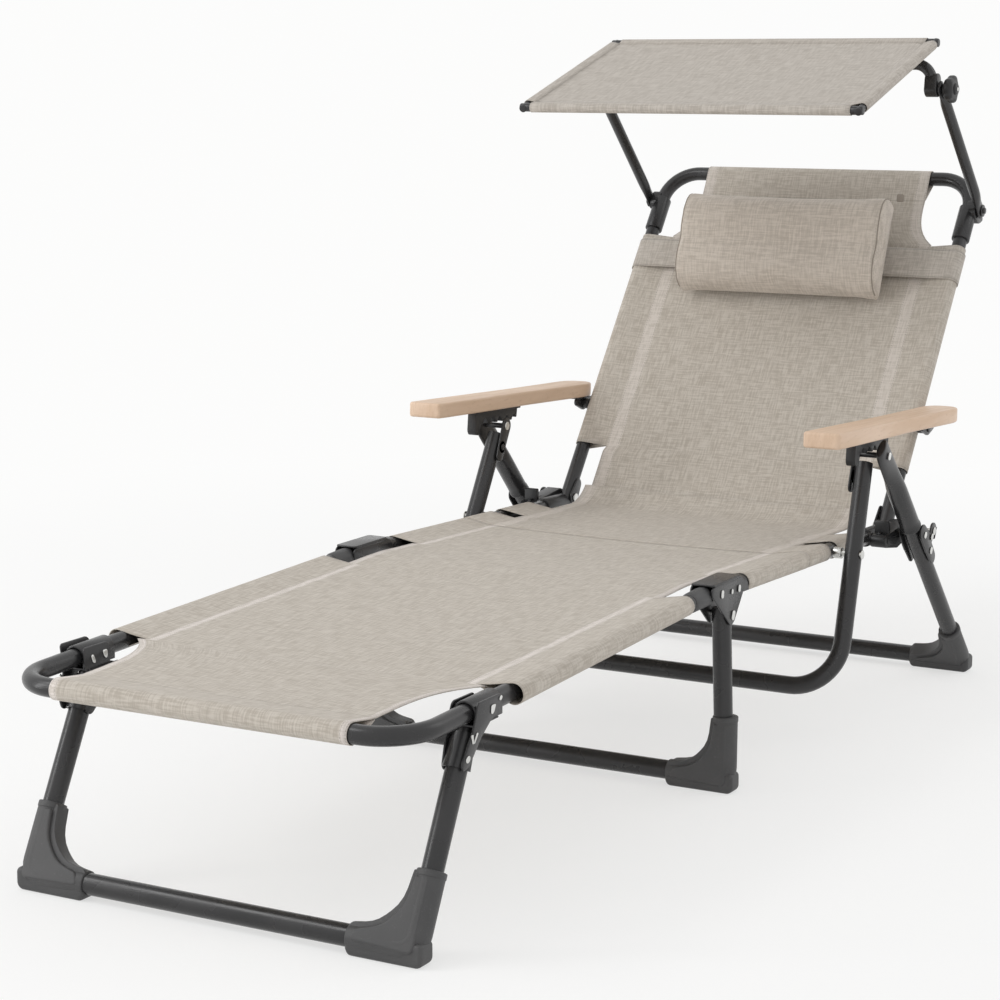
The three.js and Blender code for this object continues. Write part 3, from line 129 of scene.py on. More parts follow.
FLOOR_HALF = 14
FADE_START, FADE_END, FADE_SHARE = 1.0, 2.6, 0.62
STUDIO_WHITE = (0.975, 0.975, 0.97)
floor_bm = bmesh.new()
bmesh.ops.create_grid(floor_bm, x_segments=2, y_segments=2, size=FLOOR_HALF)
floor_mesh = take_mesh(floor_bm, "studio_floor")
floor_material, floor_tree = new_material("studio_floor")
matt = floor_tree.nodes["Principled BSDF"]
feed(floor_tree, matt, {
    "Base Color": (0.96, 0.96, 0.955), "Roughness": 0.9, "Specular IOR Level": 0,
})
far_off = node(floor_tree, "VectorMath", {0: node(floor_tree, "TexCoord").outputs["Object"]})
far_off.operation = "LENGTH"
fade = map_node(floor_tree, far_off.outputs["Value"], FADE_START, FADE_END, FADE_SHARE)
shown = times(floor_tree, fade, seen_by(floor_tree, "Is Camera Ray", "Is Glossy Ray"))
glow = node(floor_tree, "Emission", {"Color": STUDIO_WHITE})
blend = node(floor_tree, "MixShader", {0: shown, 1: matt.outputs[0], 2: glow.outputs[0]})
feed(floor_tree, floor_tree.nodes["Material Output"], {"Surface": blend.outputs[0]})
floor_mesh.materials.append(floor_material)
studio_floor = place_object("studio_floor", floor_mesh)

world = bpy.data.worlds.new("studio")
world.use_nodes = True
scene.world = world
sky = world.node_tree
surround = sky.nodes["Background"]
feed(sky, surround, {"Strength": 0.76, "Color": (1, 1, 1)})
backdrop = node(sky, "Background", {"Color": STUDIO_WHITE})
looked = seen_by(sky, "Is Camera Ray", "Is Transmission Ray", "Is Glossy Ray")
chosen = node(sky, "MixShader", {0: looked, 1: surround.outputs[0], 2: backdrop.outputs[0]})
feed(sky, sky.nodes["World Output"], {"Surface": chosen.outputs[0]})


def soft_lamp(name, place, aim, size, power):
    lamp_data = bpy.data.lights.new(name, "AREA")
    lamp_data.shape = "RECTANGLE"
    lamp_data.size, lamp_data.size_y = size
    lamp_data.energy = power
    lamp = place_object(name, lamp_data)
    lamp.location = place
    lamp.rotation_euler = (Vector(aim) - Vector(place)).to_track_quat("-Z", "Y").to_euler()


soft_lamp("key_lamp", (-2.4, -2.2, 3.6), (0, 0, 0.3), (1.9, 1.3), 36)
soft_lamp("strip_lamp", (-2.7, -2.6, 1.2), (0, -0.2, 0.4), (0.5, 2.4), 26)
soft_lamp("rim_lamp", (2.8, 2.2, 3.0), (0, 0.2, 0.4), (2.0, 2.0), 14)

# Steel tube: round mild steel, bent cold and coated with satin charcoal powder. The coat
# has a fine orange peel, a faint cloudiness, and rubs a little brighter where it is handled.
MM = 0.001
FOOT_BAR = -0.869603
X_WAY = Vector((1, 0, 0))


def at(x, y, z):
    """A place measured in millimetres from the foot bar, on the part's middle plane."""
    return Vector((x * MM, y * MM + FOOT_BAR, z * MM))


def noise_node(tree, vector, scale, detail=2.0, roughness=0.5):
    return node(tree, "TexNoise", {
        "Vector": vector, "Scale": scale, "Detail": detail, "Roughness": roughness,
    }).outputs["Fac"]


def mix_node(tree, factor, first, second):
    made = node(tree, "Mix")
    made.data_type = "RGBA"
    feed(tree, made, {0: factor, 6: first, 7: second})
    return made.outputs[2]


def pattern(name, build):
    """A shader group fed by one vector, that puts out the named values build gives."""
    group = bpy.data.node_groups.new(name, "ShaderNodeTree")
    group.interface.new_socket("Vector", in_out="INPUT", socket_type="NodeSocketVector")
    values = build(group, group.nodes.new("NodeGroupInput").outputs["Vector"])
    for title in values:
        group.interface.new_socket(title, in_out="OUTPUT", socket_type="NodeSocketFloat")
    feed(group, group.nodes.new("NodeGroupOutput"), values)
    return group


def patterned(tree, group, vector=None):
    """The outputs of a pattern, laid by the object's own coordinates or by vector."""
    made = node(tree, "Group")
    made.node_tree = group
    tree.links.new(vector or node(tree, "TexCoord").outputs["Object"], made.inputs["Vector"])
    return made.outputs


def dress(tree, height, strength, distance, values):
    """Fills the shader's sockets, with a normal raised by height."""
    bump = node(tree, "Bump", {"Strength": strength, "Distance": distance, "Height": height})
    feed(tree, tree.nodes["Principled BSDF"], {**values, "Normal": bump.outputs["Normal"]})


def shade(colour, share):
    return tuple(min(1, c * share) for c in colour)


def moulded_grain(tree, where):
    return {
        "Height": noise_node(tree, where, 1500, 2),
        "Cloud": map_node(tree, noise_node(tree, where, 14, 4), 0.25, 0.75),
        "Speck": map_node(tree, noise_node(tree, where, 420, 3), 0.62, 0.76),
    }


grain = pattern("moulded_grain", moulded_grain)
FLECK_GAIN = 1.9
GRAIN_DEPTH = 0.0004


def coated(name, dark, light, rough, metal=0.0, bump=0.05, speck=0.25):
    """A finish whose colour and gloss drift with the moulded grain."""
    material, tree = new_material(name)
    grains = patterned(tree, grain)
    clouded = mix_node(tree, grains["Cloud"], dark, light)
    flecks = times(tree, grains["Speck"], speck)
    dress(tree, grains["Height"], bump, GRAIN_DEPTH, {
        "Base Color": mix_node(tree, flecks, clouded, shade(light, FLECK_GAIN)),
        "Roughness": map_node(tree, grains["Cloud"], 0, 1, *rough),
        "Metallic": metal,
    })
    return material


powder_coat = coated(
    "powder_coat", (0.021, 0.021, 0.022), (0.031, 0.030, 0.031), (0.22, 0.32), 0.1, 0.22,
)


def write_piece(name, bm, material, body, stands_for=(), sharp=32):
    """Closes a piece: normals outward, smooth but for its edges, riding on its body."""
    bmesh.ops.recalc_face_normals(bm, faces=bm.faces)
    mesh = take_mesh(bm, name)
    mesh.shade_smooth()
    mesh.set_sharp_from_angle(angle=math.radians(sharp))
    mesh.materials.append(material)
    made = place_object(name, mesh)
    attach(made, body)
    if stands_for:
        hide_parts(*stands_for)


def write_pair(name, build, material, body, solid=None, sharp=32):
    """Builds the left piece and its mirror image; body may hold {side}."""
    for word, side in (("left", 1), ("right", -1)):
        bm = bmesh.new()
        build(bm)
        if side < 0:
            bmesh.ops.scale(bm, vec=(-1, 1, 1), verts=bm.verts)
            bmesh.ops.reverse_faces(bm, faces=bm.faces)
        stands_for = [f"{solid}_{word}"] if solid else []
        write_piece(f"{name}_{word}", bm, material, body.format(side=word), stands_for, sharp)


def bent(corners, bend, steps=10):
    """Stations, each a point and a heading, along straight runs joined by round bends."""
    stations = [(corners[0], (corners[1] - corners[0]).normalized())]
    for before, corner, after in zip(corners, corners[1:], corners[2:]):
        into = (corner - before).normalized()
        out = (after - corner).normalized()
        turn = into.angle(out)
        begin = corner - into * bend * math.tan(turn / 2)
        axis = into.cross(out).normalized()
        centre = begin + axis.cross(into) * bend
        for k in range(steps + 1):
            swing = Matrix.Rotation(turn * k / steps, 3, axis)
            stations.append((centre + swing @ (begin - centre), swing @ into))
    stations.append((corners[-1], (corners[-1] - corners[-2]).normalized()))
    return stations


def pipe(bm, stations, side, radii, sides=32, rim=0.0):
    """Bridges circles set along the stations. side is square to the path, and radii are
    one radius, or one pair for each station: along side, and square to it."""
    loops = []
    for k, (point, heading) in enumerate(stations):
        across, upright = radii if isinstance(radii, tuple) else (radii, radii)
        if isinstance(radii, list):
            across, upright = radii[k]
        up = heading.cross(side).normalized()
        ways = (side.normalized() * across * MM, up * upright * MM, heading)
        place = Matrix(ways).transposed().to_4x4()
        place.translation = point
        made = bmesh.ops.create_circle(bm, segments=sides, radius=1, matrix=place)
        loops.append(list({edge for vert in made["verts"] for edge in vert.link_edges}))
    for low, high in zip(loops, loops[1:]):
        bmesh.ops.bridge_loops(bm, edges=low + high)
    caps = bmesh.ops.edgeloop_fill(bm, edges=loops[0])["faces"]
    caps += bmesh.ops.edgeloop_fill(bm, edges=loops[-1])["faces"]
    if rim:
        edges = [edge for cap in caps for edge in cap.edges]
        bmesh.ops.bevel(
            bm, geom=edges, offset=rim * MM, segments=3, affect="EDGES", profile=0.5, material=-1,
        )


def rod(bm, start, end, radius, sides=32, rim=0.0, side=X_WAY):
    pipe(bm, bent([start, end], 0), side, radius, sides, rim)


def bent_tube(bm, corners, bend, radius, sides=32, steps=10):
    side = (corners[1] - corners[0]).cross(corners[2] - corners[1]).normalized()
    pipe(bm, bent(corners, bend * MM, steps), side, radius, sides)


RAIL = 11.0
RAIL_HALF = 268.0
FOOT_HALF = 262.0
HINGE = 735.0
BAR_HEIGHT = 247.6
FOOT_SLOPE = math.tan(math.radians(1.6))
SEAT_FALL = 1.9
SEAT_SLOPE = math.tan(math.radians(SEAT_FALL))
HINGE_HEIGHT = BAR_HEIGHT + HINGE * FOOT_SLOPE


def foot_height(y):
    return BAR_HEIGHT + y * FOOT_SLOPE


def seat_height(y):
    return HINGE_HEIGHT - (y - HINGE) * SEAT_SLOPE


def foot_edge(y):
    return FOOT_HALF + (RAIL_HALF - FOOT_HALF) * y / HINGE


foot_loop_corners = [
    at(RAIL_HALF, HINGE + 4, foot_height(HINGE + 4)),
    at(FOOT_HALF, 0, BAR_HEIGHT),
    at(-FOOT_HALF, 0, BAR_HEIGHT),
    at(-RAIL_HALF, HINGE + 4, foot_height(HINGE + 4)),
]
bm = bmesh.new()
bent_tube(bm, foot_loop_corners, 60, RAIL, steps=14)
write_piece("foot_loop", bm, powder_coat, "foot_section", ["foot_loop_tube"])


def seat_rail(bm):
    rod(bm, *(at(RAIL_HALF, y, seat_height(y)) for y in (HINGE + 13, 1337)), RAIL, 32, 1.0)


write_pair("side_rail", seat_rail, powder_coat, "seat_frame", "seat_rail")

BACK_ANGLE = math.radians(52.9)
BACK_HINGE = (1361.0, 253.66)
BACK_LENGTH = 627.0
COLLAR_LOW, COLLAR_HIGH = 512, 572


def back_at(x, along, out=0.0):
    """A place on the backrest's own slope, from its hinge."""
    y = BACK_HINGE[0] + along * math.cos(BACK_ANGLE) - out * math.sin(BACK_ANGLE)
    z = BACK_HINGE[1] + along * math.sin(BACK_ANGLE) + out * math.cos(BACK_ANGLE)
    return at(x, y, z)


bm = bmesh.new()
back_corners = [
    back_at(RAIL_HALF, -9),
    back_at(RAIL_HALF, BACK_LENGTH),
    back_at(-RAIL_HALF, BACK_LENGTH),
    back_at(-RAIL_HALF, -9),
]
bent_tube(bm, back_corners, 54, RAIL, steps=14)
write_piece("back_hoop", bm, powder_coat, "backrest", ["backrest_frame"])

# Leg frames: three U-shaped tubes of heavier steel, pinned under the bed at their tops and
# joined across the floor by their own bottom bars, which the boots hold just off it.
LEG = 12.5
LEG_BAR = 18.0
FRONT_PIVOT = (130.0, 224.23)
FRONT_BAR = (24.0, LEG_BAR)
MIDDLE_PIVOT = (770.0, 233.97)
MIDDLE_BAR = (766.0, LEG_BAR)
CROSSING = (1130.5, 255.01)
APEX = (1193.5, 387.51)
SUPPORT_BAR = (1049.0, 76.6)
REAR_BAR = (1550.5, LEG_BAR)
REAR_HALF = 327.0
FRONT_LEG_HALF = 255.0
MIDDLE_FOOT_HALF = 277.0


def leg_corners(pivot, top_half, bar, bottom_half, over):
    rise = (Vector(pivot) - Vector(bar)).normalized()
    top = Vector(pivot) + rise * over
    return [
        at(top_half, top.x, top.y),
        at(bottom_half, *bar),
        at(-bottom_half, *bar),
        at(-top_half, top.x, top.y),
    ]


front_corners = leg_corners(FRONT_PIVOT, FRONT_LEG_HALF, FRONT_BAR, FRONT_LEG_HALF, 8)
middle_corners = leg_corners(MIDDLE_PIVOT, RAIL_HALF, MIDDLE_BAR, MIDDLE_FOOT_HALF, 9)
rear_corners = leg_corners(APEX, REAR_HALF, REAR_BAR, REAR_HALF, -84)
for name, corners, body, solid in (
    ("front_leg_hoop", front_corners, "front_legs", "front_leg_frame"),
    ("middle_leg_hoop", middle_corners, "middle_legs", "middle_leg_frame"),
    ("rear_leg_hoop", rear_corners, "rear_legs", "rear_leg_frame"),
):
    bm = bmesh.new()
    bent_tube(bm, corners, 42, LEG, steps=12)
    write_piece(name, bm, powder_coat, body, [solid])

support_rise = Vector((APEX[0] - SUPPORT_BAR[0], APEX[1] - SUPPORT_BAR[1]))
support_span = support_rise.length
support_rise.normalize()


def support_half(t):
    return 319 - (319 - 299) * t / support_span


def support_at(side, t):
    place = Vector(SUPPORT_BAR) + support_rise * t
    return at(side * support_half(t), place.x, place.y)


support_top = support_span - 13
bm = bmesh.new()
support_corners = [support_at(*end) for end in ((1, support_top), (1, 0), (-1, 0), (-1, support_top))]
bent_tube(bm, support_corners, 66, LEG, steps=14)
write_piece("arm_support_hoop", bm, powder_coat, "arm_support", ["arm_support_frame"])

# Boots: dark grey moulded plastic corners, pushed over the bends of the leg tubes, with a
# lipped socket up the leg, a half sleeve along the bar, a rib round the curve and a flat sole.
boot_plastic = coated(
    "boot_plastic", (0.050, 0.050, 0.051), (0.076, 0.075, 0.076), (0.46, 0.60), 0.0, 0.5, 0.35,
)


BOOT_WALL, TOE_REACH, SOCKET_TOP = 16.6, 82, 82


def rounded(corners, steps=6):
    """A flat outline from corners of (a, b, radius), each turned on its own radius."""
    points = []
    for i, (a, b, radius) in enumerate(corners):
        here = Vector((a, b))
        into = (here - Vector(corners[i - 1][:2])).normalized()
        out = (Vector(corners[(i + 1) % len(corners)][:2]) - here).normalized()
        turn = math.atan2(into.x * out.y - into.y * out.x, into.dot(out))
        if radius <= 0 or abs(turn) < 0.02:
            points.append((a, b))
            continue
        begin = here - into * radius * math.tan(abs(turn) / 2)
        square = Vector((-into.y, into.x)) * math.copysign(radius, turn)
        centre = begin + square
        count = max(2, round(steps * abs(turn) / (math.pi / 2)))
        for k in range(count + 1):
            spoke = Matrix.Rotation(turn * k / count, 2) @ -square
            points.append(tuple(centre + spoke))
    return points


def plate(bm, outline, low, high, edge=0.6, segments=2, place=at):
    """A flat outline given a thickness, its rims softened by edge. place turns the depth
    and the outline's own two numbers into a point; by default that is a side view."""
    base = [bm.verts.new(place(low, a, b)) for a, b in outline]
    top = [bm.verts.new(place(high, a, b)) for a, b in outline]
    caps = [bm.faces.new(base), bm.faces.new(top)]
    rims = [list(cap.edges) for cap in caps]
    walls = bmesh.ops.bridge_loops(bm, edges=rims[0] + rims[1])["faces"]
    bmesh.ops.recalc_face_normals(bm, faces=caps + walls)
    if edge:
        bmesh.ops.bevel(
            bm, geom=rims[0] + rims[1], offset=edge * MM, segments=segments,
            affect="EDGES", profile=0.5, material=-1, clamp_overlap=True,
        )


def circle(a, b, radius, count=28):
    turns = [math.tau * k / count for k in range(count)]
    return [(a + radius * math.cos(t), b + radius * math.sin(t)) for t in turns]


def band(*discs):
    """The outline of a belt drawn tight round discs of (a, b, radius)."""
    points = [point for a, b, radius in discs for point in circle(a, b, radius, 40)]
    return [points[k] for k in convex_hull_2d(points)]


def boot_builder(bar, pivot, half):
    rise = Vector((0, pivot[0] - bar[0], pivot[1] - bar[1])).normalized()
    depth_way = Vector((1, 0, 0)).cross(rise)
    origin = at(0, *bar)

    def boot_at(depth, a, b):
        return origin + Vector((a, 0, 0)) * MM + rise * b * MM + depth_way * depth * MM

    def build(bm):
        out, inner, toe = half + BOOT_WALL, half - BOOT_WALL, half - TOE_REACH
        turns = [boot_at(0, half, SOCKET_TOP), boot_at(0, half, 0), boot_at(0, toe + 3, 0)]
        path = bent(turns, 15 * MM, 8)
        pipe(bm, path, depth_way, [(15.6, 16.2)] * (len(path) - 1) + [(14.6, 14.6)], 40, 1.6)
        rod(bm, boot_at(0, half, 75), boot_at(0, half, 82.6), 16.7, 40, 1.3, depth_way)
        web = rounded([
            (inner + 9, 81, 1), (inner + 0.5, 80, 2), (inner - 4, 44, 44), (inner - 30, 19, 40),
            (toe + 4, 14.4, 8), (toe + 2, -6, 2), (half, -8, 2), (half + 4, 81, 1),
        ], 8)
        plate(bm, web, -10.8, 10.8, 3.0, 4, boot_at)
        field = rounded([
            (inner + 5.5, 74, 3), (inner + 1.5, 42, 44), (inner - 21, 16.5, 42),
            (toe + 14, 8.5, 10), (toe + 8, -6, 4), (half + 7, -9, 8), (half + 7, 74, 3),
        ], 8)
        plate(bm, field, -15.4, 15.4, 4.4, 5, boot_at)
        heel = rounded([
            (out - 0.4, 27, 6), (out - 0.4, 0, 9), (toe + 5, 0, 7), (toe + 1, 9, 6),
            (toe + 7, 21, 6), (half - 18, 25, 10),
        ], 6)
        plate(bm, heel, -13.6, 13.6, 5.0, 5, lambda depth, a, b: at(a, bar[0] + depth, b))

    return build


for name, bar, pivot, half, body in (
    ("front", FRONT_BAR, FRONT_PIVOT, FRONT_LEG_HALF, "front_legs"),
    ("middle", MIDDLE_BAR, MIDDLE_PIVOT, MIDDLE_FOOT_HALF, "middle_legs"),
    ("rear", REAR_BAR, APEX, REAR_HALF, "rear_legs"),
):
    build_boot = boot_builder(bar, pivot, half)
    write_pair(f"{name}_foot", build_boot, boot_plastic, body, f"{name}_boot", 30)

# Rivets and pins: bright zinc-plated steel, set through the plates and tubes with low
# domed heads; some are pressed oval, as the photograph shows.
zinc = coated("zinc_plate", (0.60, 0.60, 0.58), (0.78, 0.78, 0.76), (0.22, 0.36), 1.0, 0.1, 0.1)


def head(bm, outline, face, height, place=at):
    """A domed head standing on the plate at face, towards +X or -X by the sign of height."""
    low, high = sorted((face, face + height))
    plate(bm, outline, low, high, abs(height) * 0.8, 4, place)


CHEEK_FACE = 268.6
INNER_CHEEK = 239.6
PLATE = 2.6


def cheek_at(depth, a, b):
    """The front bracket's outer cheek leans outwards from the leg's tube to the saddle."""
    return at(depth + (b - 196) * 0.16, a, b)


def inner_cheek_at(depth, a, b):
    return at(depth + max(0, b - 222) * 0.2, a, b)


def front_rivets(bm):
    face = CHEEK_FACE + PLATE
    inner_shield = rounded([
        (146, 256, 2), (155, 256, 2), (153.5, 248, 3), (150.5, 245.5, 2), (147.5, 248, 3),
    ], 4)
    head(bm, inner_shield, INNER_CHEEK, -2.0, inner_cheek_at)
    head(bm, band((128, 247, 2.6), (127, 252, 2.6)), INNER_CHEEK, -2.0, inner_cheek_at)
    shield = rounded([
        (141.0, 257, 2), (150.8, 257, 2), (149, 248, 3), (146, 245.5, 2), (143, 248, 3),
    ], 4)
    head(bm, shield, face, 2.0, cheek_at)
    for middle, lean in ((110.4, 2.6), (115.4, -2.6)):
        leaf = band((middle - lean, 230, 1.8), (middle + lean * 0.4, 221.5, 1.3))
        head(bm, leaf, face, 1.8, cheek_at)
    head(bm, circle(105.5, 204.6, 4.2), face, 1.9, cheek_at)
    head(bm, circle(161, 261.0, 2.8), face, 1.6, cheek_at)
    head(bm, circle(*FRONT_PIVOT, 6.2), INNER_CHEEK - 0.1, -2.0)
    plate(bm, circle(*FRONT_PIVOT, 4.8), 240, 270, 0)


write_pair("front_leg_pin", front_rivets, zinc, "foot_section", "front_leg_rivet")

# Front brackets: pressed steel. A saddle wraps the rail above a channel that holds the leg's
# top, with a half sleeve running down the leg; riveted through the rail and the leg.
def saddle(bm, lane, y1, y2, height, inner, outer, drop, tilt=0.0):
    """A bent strip over a rail: an arch with straight sides, swept along the rail."""
    arc = [math.pi * k / 16 for k in range(17)]
    over = [(outer * math.cos(t), outer * math.sin(t)) for t in arc]
    under = [(inner * math.cos(t), inner * math.sin(t)) for t in reversed(arc)]
    section = [(outer, -drop), *over, (-outer, -drop), (-inner, -drop), *under, (inner, -drop)]

    def saddle_at(depth, a, b):
        return at(lane + a, depth + tilt * b, height(depth) + b)

    plate(bm, section, y1, y2, 0.7, 2, saddle_at)


def half_shell(bm, top, low, radius, thick, sweep, flare):
    """A part-round sleeve from top to low, open on one side and flared at its end."""
    heading = (low - top).normalized()
    face = heading.cross(X_WAY).normalized()
    spokes = [-sweep / 2 + sweep * i / 20 for i in range(21)]
    rings = []
    for k in range(9):
        place = top.lerp(low, k / 8)
        inside = radius + flare * max(0, k / 8 - 0.6) / 0.4
        ring = []
        for reach, turns in ((inside + thick, spokes), (inside, reversed(spokes))):
            for t in turns:
                way = face * math.cos(t) + X_WAY * math.sin(t)
                ring.append(bm.verts.new(place + way * reach * MM))
        rings.append(ring)
    for first, second in zip(rings, rings[1:]):
        for i in range(len(first)):
            j = (i + 1) % len(first)
            bm.faces.new((first[i], first[j], second[j], second[i]))
    bm.faces.new(rings[0])
    bm.faces.new(rings[-1])


front_down = (Vector(FRONT_BAR) - Vector(FRONT_PIVOT)).normalized()


def front_bracket(bm):
    saddle(bm, foot_edge(FRONT_PIVOT[0]), 116, 174, foot_height, RAIL + 0.9, RAIL + 0.9 + PLATE, 12)
    tip = Vector(FRONT_PIVOT) + front_down * 33
    shelf = foot_height(120) - RAIL - 0.8
    outline = band(
        (*FRONT_PIVOT, 12.0), (tip.x, tip.y, 8.5), (123, shelf - 6.5, 7), (168, shelf - 5.5, 6.5),
    )
    plate(bm, outline, INNER_CHEEK, INNER_CHEEK + PLATE, 0.9)
    inner_cheek = rounded([
        (114, 264, 6), (166, 264, 9), (162, 246, 12), (144, 226, 16), (122, 214, 8),
        (114, 222, 10), (112, 246, 8),
    ], 6)
    plate(bm, inner_cheek, INNER_CHEEK - 0.2, INNER_CHEEK - 0.2 + PLATE, 1.0, 3, inner_cheek_at)
    cheek = rounded([
        (112, 266, 5), (167, 266, 8), (164, 247, 10), (147, 238, 16), (130, 222, 20),
        (112, 193, 9), (99, 191, 6), (97, 202, 6), (110, 232, 18), (112, 246, 8),
    ], 6)
    plate(bm, cheek, CHEEK_FACE, CHEEK_FACE + 2.8, 1.0, 3, cheek_at)
    shelf_strip = [(116, shelf - 2.4, 1), (166, shelf - 1.8, 1), (166, shelf, 0.5), (116, shelf, 0.5)]
    plate(bm, rounded(shelf_strip), 239.8, 277, 0.5)
    top = at(FRONT_LEG_HALF, FRONT_PIVOT[0] + 1, FRONT_PIVOT[1])
    low = at(FRONT_LEG_HALF, *(tip + front_down * 6))
    half_shell(bm, top, low, LEG + 0.4, 2.4, math.pi * 1.1, 1.2)


write_pair(
    "front_saddle_bracket", front_bracket, powder_coat, "foot_section",
    "front_bracket", 34,
)

# Middle brackets: a pressed channel over the hinge between the two rails, with tapering
# cheeks down to the leg, a thin saddle behind it and a flared rail sleeve in front.
BRACKET_TOP = HINGE_HEIGHT + 13.4
CHANNEL_INNER, CHANNEL_OUTER = 252.0, 281.4
CHANNEL_RIVET = CHANNEL_OUTER + 2.5


def tapered(bm, table, place, heading, sides, rim):
    """A straight tube whose section changes: rows of (along, half width, half height)."""
    stations = [(place(row[0]), heading) for row in table]
    pipe(bm, stations, X_WAY, [row[1:] for row in table], sides, rim)


def middle_bracket(bm):
    outline = band(
        (HINGE - 21, BRACKET_TOP - 8, 7.5), (HINGE + 58, BRACKET_TOP - 14, 13.5),
        (*MIDDLE_PIVOT, 10.5), (MIDDLE_PIVOT[0] - 3, MIDDLE_PIVOT[1] - 4, 8.5),
    )
    for face in (CHANNEL_INNER, CHANNEL_OUTER):
        plate(bm, outline, face, face + PLATE, 0.9)
    start, end = HINGE - 26, HINGE + 58
    web = rounded([(252.2, start, 4), (283.8, start, 4), (283.8, end, 5), (252.2, end, 5)], 5)
    plate(bm, web, BRACKET_TOP - 0.4, BRACKET_TOP + 2.4, 1.2, 3, lambda depth, a, b: at(a, b, depth))
    for lane in (253.4, 282.6):
        rod(bm, *(at(lane, y, BRACKET_TOP - 0.6) for y in (HINGE - 22, HINGE + 57)), 2.2, 16, 0.6)
    saddle(bm, RAIL_HALF, HINGE + 42, HINGE + 90, seat_height, RAIL + 0.4, RAIL + 2.4, 8, -0.35)


def rail_sleeve(bm):
    table = [(HINGE - 64, 11.4), (HINGE - 60, 13.0), (HINGE - 30, 13.4), (HINGE - 23, 13.2)]
    heading = Vector((0.008, 1, FOOT_SLOPE)).normalized()
    rows = [(y, radius, radius) for y, radius in table]
    tapered(bm, rows, lambda y: at(foot_edge(y), y, foot_height(y)), heading, 32, 0.5)


write_pair(
    "hinge_channel", middle_bracket, powder_coat, "seat_frame", "middle_bracket", 34,
)
write_pair("rail_ferrule", rail_sleeve, boot_plastic, "foot_section")


def middle_rivets(bm):
    spots = (
        (HINGE, HINGE_HEIGHT, 1.0), (765.5, seat_height(765.5) - 1, 0.62), (788, seat_height(788), 0.9),
    )
    for y, z, wide in spots:
        tall = band((y, z - 2.2 * wide, 3.3 * wide), (y + 0.5, z + 2.2 * wide, 3.2 * wide))
        head(bm, tall, CHANNEL_RIVET, 2.3)
        plate(bm, circle(y, z, 2.9), CHANNEL_INNER + 1, CHANNEL_OUTER + 1.6, 0)


def middle_leg_rivets(bm):
    y, z = MIDDLE_PIVOT
    oval = band((y - 1.0, z - 2.2, 4.0), (y + 1.0, z + 2.6, 4.0))
    head(bm, oval, CHANNEL_RIVET, 2.3)
    plate(bm, circle(y, z, 4.4), CHANNEL_INNER + 1, CHANNEL_OUTER + 1.6, 0)


write_pair("hinge_rivets", middle_rivets, zinc, "seat_frame", "foot_hinge_rivet")
write_pair("middle_leg_pin", middle_leg_rivets, zinc, "seat_frame", "middle_leg_rivet")

# Rail knuckles: black moulded hinge blocks pushed over the rails' rear ends, with a rib and a
# small upright tab, holding the backrest's hinge pins and the rear links.
knuckle_plastic = coated(
    "hinge_plastic", (0.010, 0.010, 0.011), (0.017, 0.017, 0.018), (0.34, 0.48), 0.0, 0.3, 0.3,
)


KNUCKLE_FACE = 279.5


def rail_knuckle(bm):
    block = band((1277, 247.9, 9.5), (1319, 243.3, 11.5), (*BACK_HINGE, 12.8))
    plate(bm, block, KNUCKLE_FACE, 304.3, 1.6)
    plate(bm, band((1281, 248.0, 5.5), (1318, 244.0, 7.0)), KNUCKLE_FACE, 306.0, 1.0)
    rib = rounded([(1277, 250, 2), (1364, 252, 4), (1360, 264, 6), (1277, 260, 2)], 5)
    plate(bm, rib, 288.0, 293.0, 1.0)
    upright = rounded([(1284, 252, 1), (1291, 252, 1), (1291, 276.5, 3), (1284, 276.5, 3)], 4)
    plate(bm, upright, 281.0, 303.0, 1.2)
    rod(bm, *(at(RAIL_HALF, y, seat_height(y)) for y in (1277, 1343)), 13.4, 32, 1.2)
    plate(bm, band((1277, 251.0, 8.0), (1340, 248.0, 8.0)), 268.0, 281.0, 1.2)


write_pair(
    "rail_end_knuckle", rail_knuckle, knuckle_plastic, "seat_frame",
    "rail_knuckle", 34,
)


# Rear stand: a flattened tube sleeve on each leg, pinned with the arm support at the apex, a
# head plate inside it, a crossing pin through the rail, and pressed links to the knuckle.
def round_pin(bm, y, z, radius, x1, x2, cap=1.8, spread=6.0):
    plate(bm, circle(y, z, radius, 32), x1, x2, 0.4)
    head(bm, circle(y, z, spread, 32), x2, cap)
    head(bm, circle(y, z, spread, 32), x1, -cap)


def crossing_pin(bm):
    y, z = CROSSING
    round_pin(bm, y, z, 4.6, 254.4, 320.5, 1.9, 6.6)
    plate(bm, circle(y, z, 8.2, 32), 280.0, 292.0, 0.8)


HEAD_PLATE_FACE = 284.3
HEAD_PLATE = 2.8


def apex_pin(bm):
    y, z = APEX
    head(bm, circle(y, z, 6.4, 32), 284.6, -1.6)
    oval = band((y - 1, z - 2, 3.6), (y + 1, z + 2, 3.6))
    head(bm, oval, 334.0, 2.8)


def apex_spacer(bm):
    y, z = APEX
    plate(bm, circle(y, z, 4.0, 32), 284.4, 334.4, 0.6)


def head_plate(bm):
    low = Vector(APEX) - support_rise * 34
    foot = Vector(APEX) - support_rise * 48
    for outline in (band((*APEX, 12.5), (*low, 10)), band((*low, 10), (*foot, 9))):
        plate(bm, outline, HEAD_PLATE_FACE, HEAD_PLATE_FACE + HEAD_PLATE, 0.8)
    head(bm, circle(low.x, low.y, 5), HEAD_PLATE_FACE + 0.1, -1.8)


write_pair("crossing_pin", crossing_pin, zinc, "seat_frame", "rail_crossing_rivet")
write_pair("apex_pin", apex_pin, zinc, "arm_support", "apex_rivet")
write_pair("apex_spacer", apex_spacer, powder_coat, "arm_support")
write_pair(
    "support_head_plate", head_plate, powder_coat, "arm_support",
    "arm_support_plate",
)

rear_run = (Vector(REAR_BAR) - Vector(APEX)).normalized()


